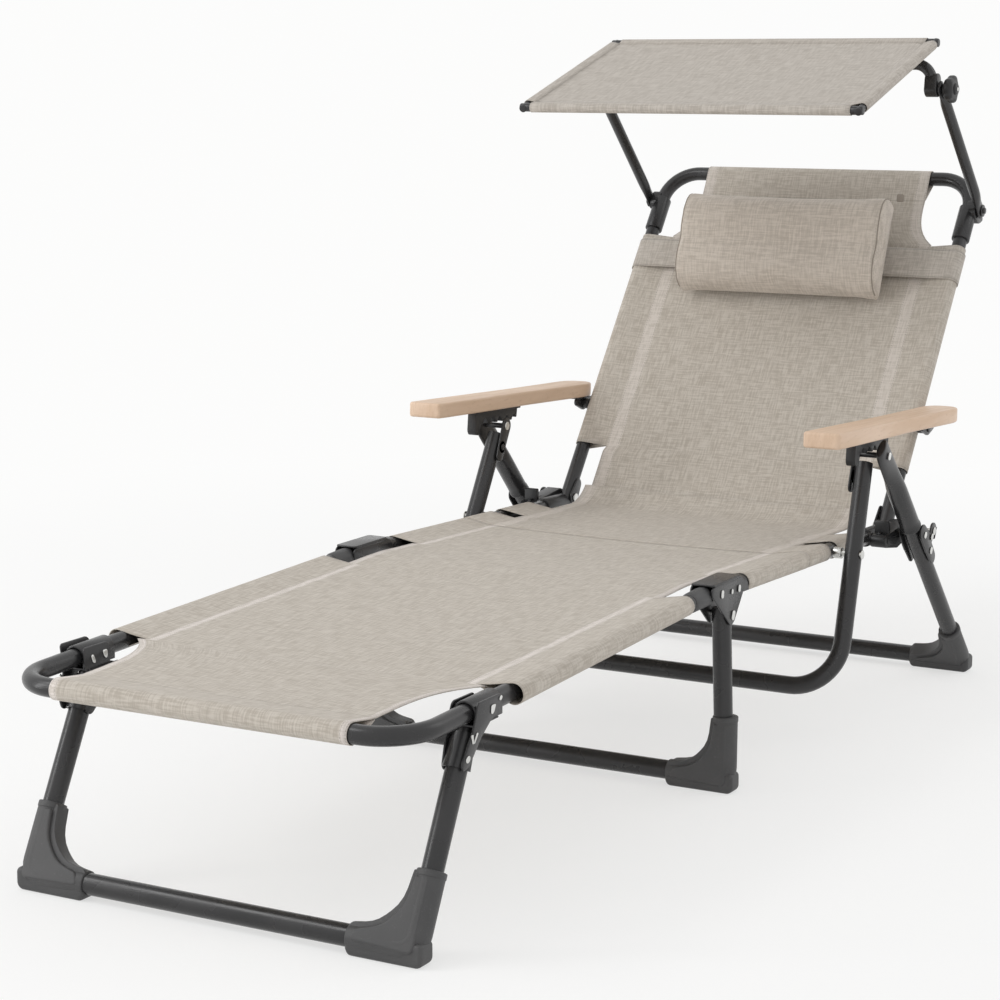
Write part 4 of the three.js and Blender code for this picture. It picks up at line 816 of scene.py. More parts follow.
def rear_at(down):
    return at(REAR_HALF, *(Vector(APEX) + rear_run * down))


def rear_sleeve(bm):
    heading = (rear_at(100) - rear_at(0)).normalized()
    table = (
        (-17, 5.6, 15.0), (-15.5, 6.0, 17.0), (-12, 6.2, 18.6), (-4, 6.3, 19.8), (8, 6.3, 20.2),
        (22, 6.6, 20.2), (34, 7.6, 19.6), (46, 9.6, 18.4), (58, 12.0, 16.6), (70, 14.0, 15.2),
        (84, 14.8, 14.9), (150, 14.8, 14.9), (163, 14.8, 14.9), (164.5, 15.7, 15.8), (168, 15.7, 15.8),
    )
    tapered(bm, table, rear_at, heading, 40, 0.7)


write_pair(
    "rear_leg_socket", rear_sleeve, powder_coat, "rear_legs", "rear_leg_sleeve", 40,
)
LINK_JOIN = Vector(APEX) + rear_run * 210
LINK_INNER, LINK_OUTER = 309.3, 341.9
LINK_FACE = LINK_OUTER + PLATE


def rear_link(bm):
    high = Vector(APEX) + rear_run * 180
    end = Vector(APEX) + rear_run * 240
    y, z = BACK_HINGE
    near = ((y * 2 + LINK_JOIN.x) / 3, (z * 2 + LINK_JOIN.y) / 3, 7.6)
    far = ((y + LINK_JOIN.x * 2) / 3, (z + LINK_JOIN.y * 2) / 3, 8.6)
    outlines = [
        band((y, z, 12.5), near),
        band(near, far),
        band(far, (*high, 12.0), (*LINK_JOIN, 12.5)),
        band((*high, 12.0), (*LINK_JOIN, 12.0), (*end, 10.0)),
    ]
    for low in (LINK_INNER, LINK_OUTER):
        for step, outline in enumerate(outlines):
            plate(bm, outline, low - 0.02 * step, low + PLATE + 0.02 * step, 0.5)
    ridge = LINK_FACE - 0.2
    rod(bm, at(ridge, y + 3, z - 12), at(ridge, y + 11, z + 4), 1.3, 10, 0.3)


def rear_link_rivets(bm):
    middle = Vector(BACK_HINGE).lerp(LINK_JOIN, 0.42)
    spots = [(*BACK_HINGE, 5.4), (*middle, 4.2)]
    spots += [(*(Vector(APEX) + rear_run * down), size) for down, size in ((186, 4.2), (224, 4.6))]
    for y, z, size in spots:
        oval = band((y - 1.0, z - 1.4, size * 0.82), (y + 1.0, z + 1.4, size * 0.82))
        head(bm, oval, LINK_FACE, 2.4)
        head(bm, circle(y, z, size), LINK_INNER - 0.1, -1.8)
    for y, z, size in spots[:2]:
        plate(bm, circle(y, z, 3.6), LINK_INNER - 3.8, LINK_FACE, 0)


write_pair(
    "rear_leg_link", rear_link, powder_coat, "rear_legs", "rear_link", 36,
)
write_pair("rear_link_rivets", rear_link_rivets, zinc, "rear_legs")


# Backrest feet: flat plates welded to the side tubes' lower ends, on a zinc hinge pin.
def back_foot(bm):
    y, z = BACK_HINGE
    up = (y + 24 * math.cos(BACK_ANGLE), z + 24 * math.sin(BACK_ANGLE))
    plate(bm, band((y, z, 12.5), (*up, 9.0)), 254.1, 256.7, 0.8)


def back_pin(bm):
    round_pin(bm, *BACK_HINGE, 4.8, 252.6, 304.6, 1.8, 6.6)


write_pair(
    "back_foot_plate", back_foot, powder_coat, "backrest", "backrest_foot_plate",
)
write_pair("back_hinge_pin", back_pin, zinc, "backrest", "backrest_hinge_pin")

# Canopy arms: flat-ended steel tubes swinging on a collar round each side of the backrest,
# up to the clamps that hold the canopy's cross tube; all powder coated.
CANOPY_PIVOT_ALONG = 569.0
ARM_LANE = 288.0
arm_foot = back_at(0, CANOPY_PIVOT_ALONG)
ARM_LEAN = math.radians(45.9)
ARM_RUN = Vector((0, -math.sin(ARM_LEAN), math.cos(ARM_LEAN)))


def along_arm(x, up, forward=0.0):
    forward_way = Vector((0, -math.cos(ARM_LEAN), -math.sin(ARM_LEAN)))
    return Vector((x * MM, 0, 0)) + arm_foot + ARM_RUN * up * MM + forward_way * forward * MM


def lug_at(depth, a, b):
    return along_arm(depth, b, a)


def pivot_collar(bm):
    rod(bm, back_at(RAIL_HALF, COLLAR_LOW), back_at(RAIL_HALF, COLLAR_HIGH), 14.2, 32, 1.2)
    lug = rounded([(-16, -24, 10), (14, -20, 10), (16, 12, 10), (-14, 14, 8)], 5)
    plate(bm, lug, 268, 284.2, 1.2, 2, lug_at)
    point = rounded([(-9, -34, 4), (9, -22, 6), (12, -4, 4), (-12, -4, 4)], 4)
    plate(bm, point, 279.6, 283.4, 1.0, 2, lug_at)
    plate(bm, circle(0, 0, 4.8), 283, 296.5, 0.8, 2, along_arm)


def canopy_arm(bm):
    table = (
        (-11, 2.8, 7), (-9.5, 3.3, 9.4), (-5, 3.5, 11.6), (2, 3.5, 12.2), (10, 3.6, 11.6),
        (18, 4.4, 10.6), (28, 6.6, 9.2), (38, 8.0, 8.7), (50, 8.5, 8.5), (236, 8.5, 8.5),
        (246, 8.0, 8.7), (255, 6.4, 9.4), (264, 4.2, 10.8), (272, 3.5, 11.8), (279, 3.5, 11.8),
        (284, 3.3, 9.6), (286.5, 2.8, 7),
    )
    tapered(bm, table, lambda up: along_arm(ARM_LANE, up), ARM_RUN, 32, 0.5)
    plate(bm, circle(0, 0, 9.6, 36), 291.7, 293.2, 0.6, 2, along_arm)


def canopy_arm_bolt(bm):
    plate(bm, circle(0, 0, 3.4, 24), 293.2, 295.6, 1.2, 3, along_arm)


write_pair(
    "canopy_collar", pivot_collar, powder_coat, "backrest",
    "canopy_pivot_bracket", 34,
)
write_pair(
    "canopy_swing_arm", canopy_arm, powder_coat, "canopy_arm_{side}_body",
    "canopy_arm", 34,
)
write_pair("canopy_arm_bolt", canopy_arm_bolt, zinc, "canopy_arm_{side}_body")

# Canopy frame: a bent cross tube clamped at the arms, two side rods and two hem rods, with
# dark push-fit connectors at the corners. The cross tube is coated steel like the arms.
KNOB_Y = 1506.02
KNOB_Z = 899.56
YOKE_LANE = 273.0
YOKE_TOP = KNOB_Z + 37
CANOPY_SLOPE = math.radians(17.45)
REAR_LINE = (KNOB_Y + 22, KNOB_Z + 69)
CANOPY_DEPTH = 322.0
CANOPY_HALF = 269.0


def canopy_at(x, ahead, out=0.0):
    y = REAR_LINE[0] - ahead * math.cos(CANOPY_SLOPE) - out * math.sin(CANOPY_SLOPE)
    z = REAR_LINE[1] - ahead * math.sin(CANOPY_SLOPE) + out * math.cos(CANOPY_SLOPE)
    return at(x, y, z)


bm = bmesh.new()
yoke_corners = [
    at(s * YOKE_LANE, KNOB_Y, z)
    for s, z in ((1, KNOB_Z + 8), (1, YOKE_TOP), (-1, YOKE_TOP), (-1, KNOB_Z + 8))
]
bent_tube(bm, yoke_corners, 26, 8.5, 28, 12)
knob_clamp = band((KNOB_Y, KNOB_Z, 12.0), (KNOB_Y, KNOB_Z + 13, 10.5))
clip = band((KNOB_Y, YOKE_TOP, 10.6), (KNOB_Y + 4, YOKE_TOP + 14, 5.5))
for s in (1, -1):
    plate(bm, knob_clamp, *sorted((s * 264.6, s * 284.2)), 1.6, 3)
    plate(bm, clip, *sorted((s * 160, s * 176)), 1.4, 2)
write_piece("canopy_cross_tube", bm, powder_coat, "canopy", ["canopy_yoke"], 34)

UP_WAY = Vector((0, 0, 1))
bm = bmesh.new()
for s in (1, -1):
    lane = s * CANOPY_HALF
    rod(bm, canopy_at(lane, -6), canopy_at(lane, CANOPY_DEPTH + 7), 5.8, 24, 0.8)
    for ahead in (0, CANOPY_DEPTH):
        ends = [canopy_at(lane + s * past, ahead) for past in (-15, 6.0)]
        rod(bm, *ends, 6.4, 24, 1.2, UP_WAY)
for ahead in (0, CANOPY_DEPTH):
    rod(bm, canopy_at(-CANOPY_HALF, ahead), canopy_at(CANOPY_HALF, ahead), 5.6, 24, 0.0, UP_WAY)
write_piece("canopy_rods", bm, powder_coat, "canopy", ["canopy_rim"], 34)


# Knobs: black moulded hand knobs with bevelled lobes on a zinc bolt, one each side.
def clamp_knob(bm):
    lobes = []
    for k in range(80):
        turn = math.tau * k / 80
        reach = 19.6 + 1.7 * math.cos(5 * turn)
        lobes.append((KNOB_Y + reach * math.cos(turn), KNOB_Z + reach * math.sin(turn)))
    plate(bm, lobes, 296.8, 310.6, 5.2, 6)
    plate(bm, circle(KNOB_Y, KNOB_Z, 8.6, 32), 300, 313.4, 2.4, 3)
    plate(bm, circle(KNOB_Y, KNOB_Z, 8.6, 32), 291.9, 298, 0.8, 2)


def clamp_bolt(bm):
    head(bm, circle(KNOB_Y, KNOB_Z, 3.2, 6), 313.2, 1.8)


def inner_bolt(bm):
    head(bm, circle(KNOB_Y, KNOB_Z, 6.0, 32), 264.8, -2.6)


write_pair(
    "clamp_knob", clamp_knob, knuckle_plastic, "canopy_knob_{side}_body",
    "canopy_knob", 34,
)
write_pair("clamp_knob_bolt", clamp_bolt, zinc, "canopy_knob_{side}_body")
write_pair("clamp_inner_bolt", inner_bolt, zinc, "canopy")


# Armrests: solid beech boards, waisted in plan, with eased edges and pale straight grain
# along their length; screwed to a rack in front and to a hinge plate behind.
def stretched(tree, vector, scale):
    made = node(tree, "VectorMath", {0: vector, 1: scale})
    made.operation = "MULTIPLY"
    return made.outputs[0]


def straight_grain(tree, where):
    lines = noise_node(tree, stretched(tree, where, (260, 7, 60)), 1, 3, 0.55)
    flecks = noise_node(tree, stretched(tree, where, (900, 60, 300)), 1, 2, 0.5)
    tone = noise_node(tree, stretched(tree, where, (30, 3, 8)), 1, 3, 0.5)
    return {
        "Line": map_node(tree, lines, 0.36, 0.66),
        "Fleck": map_node(tree, flecks, 0.58, 0.74),
        "Tone": map_node(tree, tone, 0.3, 0.7),
    }


beech, beech_tree = new_material("pale_beech")
beech_grain = patterned(beech_tree, pattern("straight_grain", straight_grain))
wood = mix_node(beech_tree, beech_grain["Tone"], (0.68, 0.490, 0.350), (0.78, 0.585, 0.440))
for title, share, tint in (("Line", 0.34, (0.585, 0.410, 0.270)), ("Fleck", 0.3, (0.48, 0.32, 0.20))):
    wood = mix_node(beech_tree, times(beech_tree, beech_grain[title], share), wood, tint)
dress(beech_tree, beech_grain["Line"], 0.16, 0.0005, {
    "Base Color": wood, "Roughness": map_node(beech_tree, beech_grain["Line"], 0, 1, 0.42, 0.55),
})


ARM_TILT = math.radians(2.6)
ARM_INNER, ARM_OUTER = 284.0, 339.0
ARM_FRONT, ARM_REAR, ARM_THICK = -202.0, 303.0, 22.0
RACK_LANE = 305.0
BOARD_RISE = 26.5


def arm_at(x, back, out=0.0):
    """A place on the armrest's underside plane, from above the apex pin."""
    y = APEX[0] + back * math.cos(ARM_TILT) + out * math.sin(ARM_TILT)
    z = APEX[1] + BOARD_RISE - back * math.sin(ARM_TILT) + out * math.cos(ARM_TILT)
    return at(x, y, z)


def armrest_board(bm):
    middle = (ARM_INNER + ARM_OUTER) / 2
    half = (ARM_OUTER - ARM_INNER) / 2
    span = ARM_REAR - ARM_FRONT
    shares = (
        (0.0, 0.97, 6), (0.05, 1.0, 60), (0.3, 0.95, 300), (0.55, 0.87, 400), (0.8, 0.95, 300),
        (0.93, 1.0, 60),
    )
    edge = [(middle + half * w, ARM_FRONT + span * s, r) for s, w, r in shares]
    edge.append((middle + half * 0.78, ARM_REAR, 24))
    mirror_edge = [(2 * middle - a, b, r) for a, b, r in reversed(edge)]
    outline = rounded(edge + mirror_edge, 8)
    plate(bm, outline, 0.0, ARM_THICK, 3.6, 5, lambda depth, a, b: arm_at(a, b, depth))


write_pair("armrest_board", armrest_board, beech, "armrest_{side}_body", "armrest", 40)
RACK_PITCH = 22.4


# Racks and armrest hinges: a black moulded toothed bar that rides on the apex pin, with a
# hanging front lobe; behind it a coated steel hinge plate on a pin through the backrest.
def armrest_rack(bm):
    teeth = [(-71, -0.4, 1), (-73, -32, 9), (-66, -38, 7), (-59, -34, 6), (-56, -20.6, 4)]
    notch = ((0.3, -20.6, 2), (0.5, -12.5, 3), (0.7, -12.5, 3), (0.97, -20.6, 2))
    for k in range(5):
        teeth += [(-56 + RACK_PITCH * (k + share), drop, radius) for share, drop, radius in notch]
    teeth.append((58, -0.4, 1))
    plate(bm, rounded(teeth, 4), RACK_LANE - 7, RACK_LANE + 7, 1.0, 2, arm_at)
    foot = rounded([(-76, -12, 4), (-76, 12, 4), (62, 12, 4), (62, -12, 4)], 4)
    plate(bm, foot, -3.2, -0.3, 0.8, 2, lambda depth, a, b: arm_at(RACK_LANE + b, a, depth))


ARM_PIVOT_ALONG = 171.5
ARM_PIVOT = (
    BACK_HINGE[0] + ARM_PIVOT_ALONG * math.cos(BACK_ANGLE),
    BACK_HINGE[1] + ARM_PIVOT_ALONG * math.sin(BACK_ANGLE),
)


def armrest_hinge(bm):
    y, z = ARM_PIVOT
    back = y - APEX[0]
    drop = APEX[1] + BOARD_RISE - back * math.tan(ARM_TILT) - 8
    cheek = band((y, z, 10.4), (y - 20, drop + 0.9, 6.6), (y + 20, drop - 0.9, 6.6))
    plate(bm, cheek, 291.0, 296.2, 1.2)
    plate(bm, circle(y, z, 8.2, 32), 280.2, 292.0, 0.8)
    base = rounded([(-26, -6, 3), (-26, 16, 3), (26, 16, 3), (26, -6, 3)], 4)
    plate(bm, base, -3.0, -0.3, 0.8, 2, lambda depth, a, b: arm_at(293.5 + b, back + a, depth))


def armrest_hinge_pin(bm):
    round_pin(bm, *ARM_PIVOT, 4.6, 254.8, 296.4, 1.8, 6.2)


ARM_BODY = "armrest_{side}_body"
write_pair(
    "armrest_rack_bar", armrest_rack, knuckle_plastic, ARM_BODY, "armrest_rack", 34,
)
write_pair(
    "armrest_hinge_plate", armrest_hinge, powder_coat, ARM_BODY, "armrest_hinge", 34,
)
write_pair("armrest_hinge_pin", armrest_hinge_pin, powder_coat, ARM_BODY)

# Slings: two lengths of greige coated mesh, sewn round the side rails and the end bars in
# long pockets, cut away at the brackets; a pale binding runs inside each side seam, its pale
# colour partly the tape's own and partly painted highlight along the raised welt.
THREADS = 4200.0
STITCHES = 1500.0


def mesh_weave(tree, flat):
    warp = noise_node(tree, stretched(tree, flat, (430, 34, 1)), 1, 3, 0.6)
    weft = noise_node(tree, stretched(tree, flat, (34, 430, 1)), 1, 3, 0.6)
    crossed = math_node(tree, "ADD", times(tree, warp, 0.5), times(tree, weft, 0.5))
    ribs = node(tree, "SeparateXYZ", {0: flat}).outputs
    thread_x, thread_y = (math_node(tree, "SINE", times(tree, ribs[way], THREADS)) for way in "XY")
    cloud = noise_node(tree, stretched(tree, flat, (9, 9, 1)), 1, 4, 0.55)
    return {
        "Mottle": map_node(tree, crossed, 0.40, 0.60),
        "Thread": times(tree, thread_x, thread_y),
        "Tone": map_node(tree, cloud, 0.3, 0.7),
    }


weave = pattern("coated_mesh_weave", mesh_weave)


def mesh_cloth(name, dark, light, binding=None, strip_width=0.011):
    """Woven cloth: colour from the weave, and from the trim map its stitching and binding."""
    material, tree = new_material(name)
    flat, trim = node(tree, "UVMap"), node(tree, "UVMap")
    flat.uv_map, trim.uv_map = "flat", "trim"
    threads = patterned(tree, weave, flat.outputs["UV"])
    run = node(tree, "SeparateXYZ", {0: flat.outputs["UV"]}).outputs["Y"]
    edge = node(tree, "SeparateXYZ", {0: trim.outputs["UV"]}).outputs
    middle = tuple((a + b) / 2 for a, b in zip(dark, light))
    toned = mix_node(tree, threads["Tone"], shade(middle, 0.97), shade(middle, 1.03))
    colour = mix_node(tree, 0.8, toned, mix_node(tree, threads["Mottle"], dark, light))
    height = times(tree, threads["Thread"], 0.5)

    def line_at(across, place, half):
        near = math_node(tree, "ABSOLUTE", math_node(tree, "SUBTRACT", across, place))
        return math_node(tree, "LESS_THAN", near, half)

    # The pale binding strip is partly the tape's own colour and partly painted highlight on the raised
    # welt.
    if binding:
        inside = math_node(tree, "GREATER_THAN", edge["X"], 0.0)
        strip = times(tree, inside, math_node(tree, "LESS_THAN", edge["X"], strip_width))
        binding_patchiness = map_node(tree, threads["Mottle"], 0, 1, 0.45, 0.95)
        colour = mix_node(tree, times(tree, strip, binding_patchiness), colour, binding)
        height = math_node(tree, "ADD", height, times(tree, strip, 1.4))
        dash = math_node(tree, "SINE", times(tree, run, STITCHES))
        dash = math_node(tree, "GREATER_THAN", dash, -0.35)
        for place in (0.0015, strip_width - 0.0015):
            stitch = times(tree, line_at(edge["X"], place, 0.0005), dash)
            colour = mix_node(tree, times(tree, stitch, 0.5), colour, shade(dark, 0.5))
    hem = times(tree, line_at(edge["Y"], 0.0022, 0.0006), 0.4)
    dress(tree, height, 0.25, GRAIN_DEPTH, {
        "Base Color": mix_node(tree, hem, colour, shade(dark, 0.45)),
        "Roughness": 0.82, "Sheen Weight": 0.12, "Specular IOR Level": 0.25,
    })
    return material


SLING_TONES = ((0.420, 0.374, 0.318), (0.600, 0.553, 0.490))
# Each binding colour is partly the tape's own pale tone and partly painted highlight along the welt.
sling_cloth = mesh_cloth("sling_mesh", *SLING_TONES, (0.76, 0.70, 0.655))
back_cloth = mesh_cloth("back_sling_mesh", *SLING_TONES, (0.66, 0.605, 0.55), 0.021)
POCKET_REACH = 44.0
SEAM_RISE, SEAM_UNDER = 5.0, 3.6
SEAM_HALF = RAIL_HALF - POCKET_REACH
POCKET = RAIL + 1.3


def between(first, second, share):
    return tuple(a + (b - a) * share for a, b in zip(first, second))


def pocket_section(radius, top, low, reach, steps=12):
    """Half a pocket's section from its seam, over a rod and back: (offset, height, arc)."""
    start = math.atan2(top, -reach) - math.acos(radius / math.hypot(reach, top))
    end = math.atan2(low, -reach) + math.acos(radius / math.hypot(reach, low)) - math.tau
    turns = [start + (end - start) * k / steps for k in range(steps + 1)]
    arc = [(radius * math.cos(turn), radius * math.sin(turn)) for turn in turns]
    walk = [between((-reach, top), arc[0], k / 3) for k in (1, 2)] + arc
    walk += [between(arc[-1], (-reach, low), k / 3) for k in (1, 2, 3)]
    travelled, points, before = 0.0, [], (-reach, top)
    for point in walk:
        travelled += math.dist(before, point)
        points.append((*point, travelled))
        before = point
    return points


side_pocket = pocket_section(POCKET, SEAM_RISE, SEAM_UNDER, POCKET_REACH)
COLUMNS = 40


def cloth_lines(low, high, count, rod_past, pocket):
    """Lines across a cloth and its two pockets: (zone, position, height, flat coordinate)."""
    places = [low + (high - low) * k / count for k in range(count + 1)]
    middle = [(0, place, 0.0, place) for place in places]
    end = [(1, high + rod_past + a, h, high + run) for a, h, run in pocket]
    start = [(-1, low - rod_past - a, h, low - run) for a, h, run in reversed(pocket)]
    return start + middle + end


def cloth_grid(columns, rows, place, kept, flat, trim, corner=(0.0, 0.0)):
    """A grid of crossings (i, j). place gives a crossing's point, flat and trim its places on
    the cloth's two maps, and kept a face's share of its flat width, or 0 where it is cut away."""
    bm = bmesh.new()
    layers = [bm.loops.layers.uv.new(name) for name in ("flat", "trim")]
    grid = bmesh.ops.create_grid(bm, x_segments=columns - 1, y_segments=rows - 1, size=1)
    spots = {}
    for vert in grid["verts"]:
        i = round((vert.co.x + 1) / 2 * (columns - 1))
        j = round((vert.co.y + 1) / 2 * (rows - 1))
        spots[vert] = (i, j)
        vert.co = place(i, j)
    doomed, area = [], 0.0
    for face in bm.faces:
        corners = [spots[vert] for vert in face.verts]
        share = kept(corners)
        if not share:
            doomed.append(face)
            continue
        for loop in face.loops:
            spot = spots[loop.vert]
            for layer, start, uv in zip(layers, (corner, (0.0, 0.0)), (flat(*spot), trim(*spot))):
                loop[layer].uv = (start[0] + uv[0] * MM, start[1] + uv[1] * MM)
        wide, run = zip(*(flat(*spot) for spot in corners))
        area += (max(wide) - min(wide)) * share * (max(run) - min(run)) * MM * MM
    bmesh.ops.delete(bm, geom=doomed, context="FACES")
    bmesh.ops.recalc_face_normals(bm, faces=bm.faces)
    return bm, area


def sling_sheet(rows):
    """rows: (base point, normal, run, half width, pocket, edge distance, sag)."""
    columns = cloth_lines(-SEAM_HALF, SEAM_HALF, COLUMNS, RAIL_HALF - SEAM_HALF, side_pocket)
    hinge_line = at(0, HINGE, 0).y

    def place(i, j):
        zone, x, height, _ = columns[i]
        base, normal, _, half, _, _, sag = rows[j]
        if zone == 0:
            share = x / SEAM_HALF
            height = SEAM_RISE - sag * (1 - share * share)
            x *= half / SEAM_HALF
        elif base.y < hinge_line:
            narrow = foot_edge((base.y - FOOT_BAR) / MM) - RAIL_HALF
            x += math.copysign(min(0, narrow), x)
        return Vector((x * MM, 0, 0)) + base + normal * height * MM

    def kept(corners):
        low_row = min(j for _, j in corners)
        if any(columns[i][0] for i, _ in corners):
            return rows[low_row][4] and rows[low_row + 1][4]
        return rows[low_row][3] / SEAM_HALF

    return cloth_grid(
        len(columns), len(rows), place, kept, lambda i, j: (columns[i][3], rows[j][2]),
        lambda i, j: (SEAM_HALF - abs(columns[i][3]), rows[j][5]), (0.4, 0.0),
    )


def settle(made):
    """Applies an object's modifiers to its mesh."""
    bpy.context.view_layer.update()
    graph = bpy.context.evaluated_depsgraph_get()
    mesh = bpy.data.meshes.new_from_object(made.evaluated_get(graph))
    made.modifiers.clear()
    return mesh


def finished_sheet(name, bm, material, thick):
    """Gives a flat piece its thickness and its material, with no body yet."""
    mesh = take_mesh(bm, name)
    mesh.shade_smooth()
    mesh.materials.append(material)
    made = place_object(name, mesh)
    wall = made.modifiers.new("cloth", "SOLIDIFY")
    wall.thickness = thick * MM
    wall.offset = 0
    made.data = settle(made)
    made.data.name = name
    return made


def bed_path(points):
    """Rows from a path of (y, z, half, pocket, edge, sag) with normals from its turns."""
    rows = []
    run = 0.0
    for k, (y, z, *rest) in enumerate(points):
        before = points[max(0, k - 1)]
        after = points[min(len(points) - 1, k + 1)]
        heading = Vector((0, after[0] - before[0], after[1] - before[1])).normalized()
        normal = Vector((0, -heading.z, heading.y))
        if k:
            run += math.dist(before[:2], (y, z))
        rows.append((at(0, y, z) - normal * SEAM_RISE * MM, normal, run, *rest))
    return rows


PLAIN = 60


def end_wrap(centre, along, up, half):
    """The bar pocket at an end of the bed, from its inner seam round the bar to its top."""
    points = []
    for a, h, _ in pocket_section(POCKET, SEAM_RISE, SEAM_UNDER, POCKET_REACH, 14):
        y = centre[0] - along[0] * a + up[0] * h
        z = centre[1] - along[1] * a + up[1] * h
        points.append((y, z, half, False, POCKET_REACH - a if a < 0 else PLAIN, 0.0))
    return points


def spaced(start, end, step=12.0):
    count = max(1, round((end - start) / step))
    return [start + (end - start) * k / count for k in range(count + 1)]


FOOT_CUT_START, FOOT_HEM, FOOT_END = 46.0, 208.0, 659.0
SEAT_START, PIECE_SEAM, SEAT_END = 831.0, 1040.0, 1116.0
REAR_POCKET_START, REAR_POCKET_END = 1145.0, 1234.0
CUT_GAP = 3
FRONT_CUT, BACK_CUT = 196.0, 195.0
HEM_CURVE = 4.5
LAP = 0.3


def bed_height(y):
    """The sling's height, eased over the hinge between the two slopes of the bed."""
    blend_half = 40.0
    share = min(1, max(0, (y - HINGE + blend_half) / (2 * blend_half)))
    lower, upper = foot_height(y), seat_height(y)
    return lower + (upper - lower) * (share * share + share) * 0.5 + SEAM_RISE


def bed_run(start, end, widen, pocket, sag, lift=0.0, step=12.0):
    half = SEAM_HALF + widen
    return [(y, bed_height(y) + lift, half, pocket, PLAIN, sag) for y in spaced(start, end, step)]


foot_wrap = end_wrap((0.0, BAR_HEIGHT), (1.0, FOOT_SLOPE), (-FOOT_SLOPE, 1.0), FRONT_CUT)
lower_points = foot_wrap[::-1]
for y in spaced(FOOT_CUT_START, FOOT_HEM - 2, 11.0):
    share = (y - 20) / (FOOT_HEM - 20)
    half = FRONT_CUT + (SEAM_HALF + 18 - FRONT_CUT) * share ** HEM_CURVE
    lower_points.append((y, bed_height(y), half, False, y - POCKET_REACH, 2.5 * min(1, share * 2)))
lower_points += bed_run(FOOT_HEM, FOOT_END, 0, True, 3.0)
lower_points += bed_run(FOOT_END + CUT_GAP, SEAT_START - CUT_GAP, 10, False, 3.0)
lower_points += bed_run(SEAT_START, PIECE_SEAM, 0, True, 3.2)

BEND, BEND_STEPS = 70.0, 10
corner_y, corner_z = 1333.8, 252.7
tilt = math.radians(SEAT_FALL)
turn = BACK_ANGLE + tilt
reach = BEND * math.tan(turn / 2)
upper_points = bed_run(PIECE_SEAM, SEAT_END, 0, True, 3.2, LAP)
upper_points += bed_run(
    SEAT_END + CUT_GAP, REAR_POCKET_START - CUT_GAP, 6, False, 3.2, LAP, 8.0,
)
upper_points += bed_run(REAR_POCKET_START, REAR_POCKET_END, 0, True, 3.2, LAP)
upper_points += bed_run(REAR_POCKET_END + CUT_GAP, corner_y - reach, 6, False, 3.2, LAP)
centre_y = corner_y - reach + BEND * math.sin(tilt)
centre_z = bed_height(corner_y - reach) + LAP + BEND * math.cos(tilt)
for k in range(1, BEND_STEPS):
    angle = turn * k / BEND_STEPS - tilt
    y, z = centre_y + BEND * math.sin(angle), centre_z - BEND * math.cos(angle)
    upper_points.append((y, z, SEAM_HALF + 6, False, PLAIN, 3.0))


def back_point(along, out=SEAM_RISE):
    spot = back_at(0, along, out)
    return (spot.y - FOOT_BAR) / MM, spot.z / MM


BACK_POCKET, BACK_HEM = 95.0, 495.0
back_dir = (math.cos(BACK_ANGLE), math.sin(BACK_ANGLE))
end_turn = back_point(0)
first_along = (corner_y - end_turn[0]) * back_dir[0] + (corner_z - end_turn[1]) * back_dir[1] + reach
for along in spaced(max(first_along, 22.0), BACK_POCKET - 2, 8.0)[:-1]:
    upper_points.append((*back_point(along), SEAM_HALF + 4, False, PLAIN, 3.0))
for along in spaced(BACK_POCKET, BACK_HEM):
    upper_points.append((*back_point(along), SEAM_HALF, True, PLAIN, 3.0))
for along in spaced(BACK_HEM + 2, BACK_LENGTH - 46, 11.0):
    share = (BACK_LENGTH - 20 - along) / (BACK_LENGTH - 20 - BACK_HEM)
    half = BACK_CUT + (SEAM_HALF + 4 - BACK_CUT) * share ** HEM_CURVE
    edge = BACK_LENGTH - POCKET_REACH - along
    upper_points.append((*back_point(along), half, False, edge, 2.0))
top_bar = back_point(BACK_LENGTH, 0.0)
back_up = (-back_dir[1], back_dir[0])
upper_points += end_wrap(top_bar, (-back_dir[0], -back_dir[1]), back_up, BACK_CUT)

for name, points, cloth, first, second, start, end, nodes in (
    ("lower_sling", lower_points, sling_cloth, "foot_section", "seat_frame",
     at(0, HINGE - 30, HINGE_HEIGHT), at(0, HINGE + 30, HINGE_HEIGHT), ["foot_sling"]),
    ("upper_sling", upper_points, back_cloth, "seat_frame", "backrest",
     at(0, BACK_HINGE[0] - 41, 258.0), back_at(0, 60, 0), ["seat_sling", "back_sling"]),
):
    rows = bed_path(points)
    bm, flat_area = sling_sheet(rows)
    sling = finished_sheet(name, bm, cloth, 0.9)
    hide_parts(*nodes)
    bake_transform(sling)
    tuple(start)
    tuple(end)

# Canopy cloth: one panel of the same mesh, drawn tight over the rim, with a sewn pocket
# round each rod and its corners cut away at the connectors. It dips a little between rods.
CANOPY_RISE = 3.6
canopy_pocket = pocket_section(7.1, CANOPY_RISE, 2.5, 17.0, 10)
CANOPY_INSET = 12.0
CANOPY_SEAM = CANOPY_HALF - CANOPY_INSET
canopy_columns = cloth_lines(-CANOPY_SEAM, CANOPY_SEAM, 44, CANOPY_INSET, canopy_pocket)
canopy_rows = cloth_lines(
    CANOPY_INSET, CANOPY_DEPTH - CANOPY_INSET, 28, CANOPY_INSET, canopy_pocket,
)
NO_BINDING = -1000.0


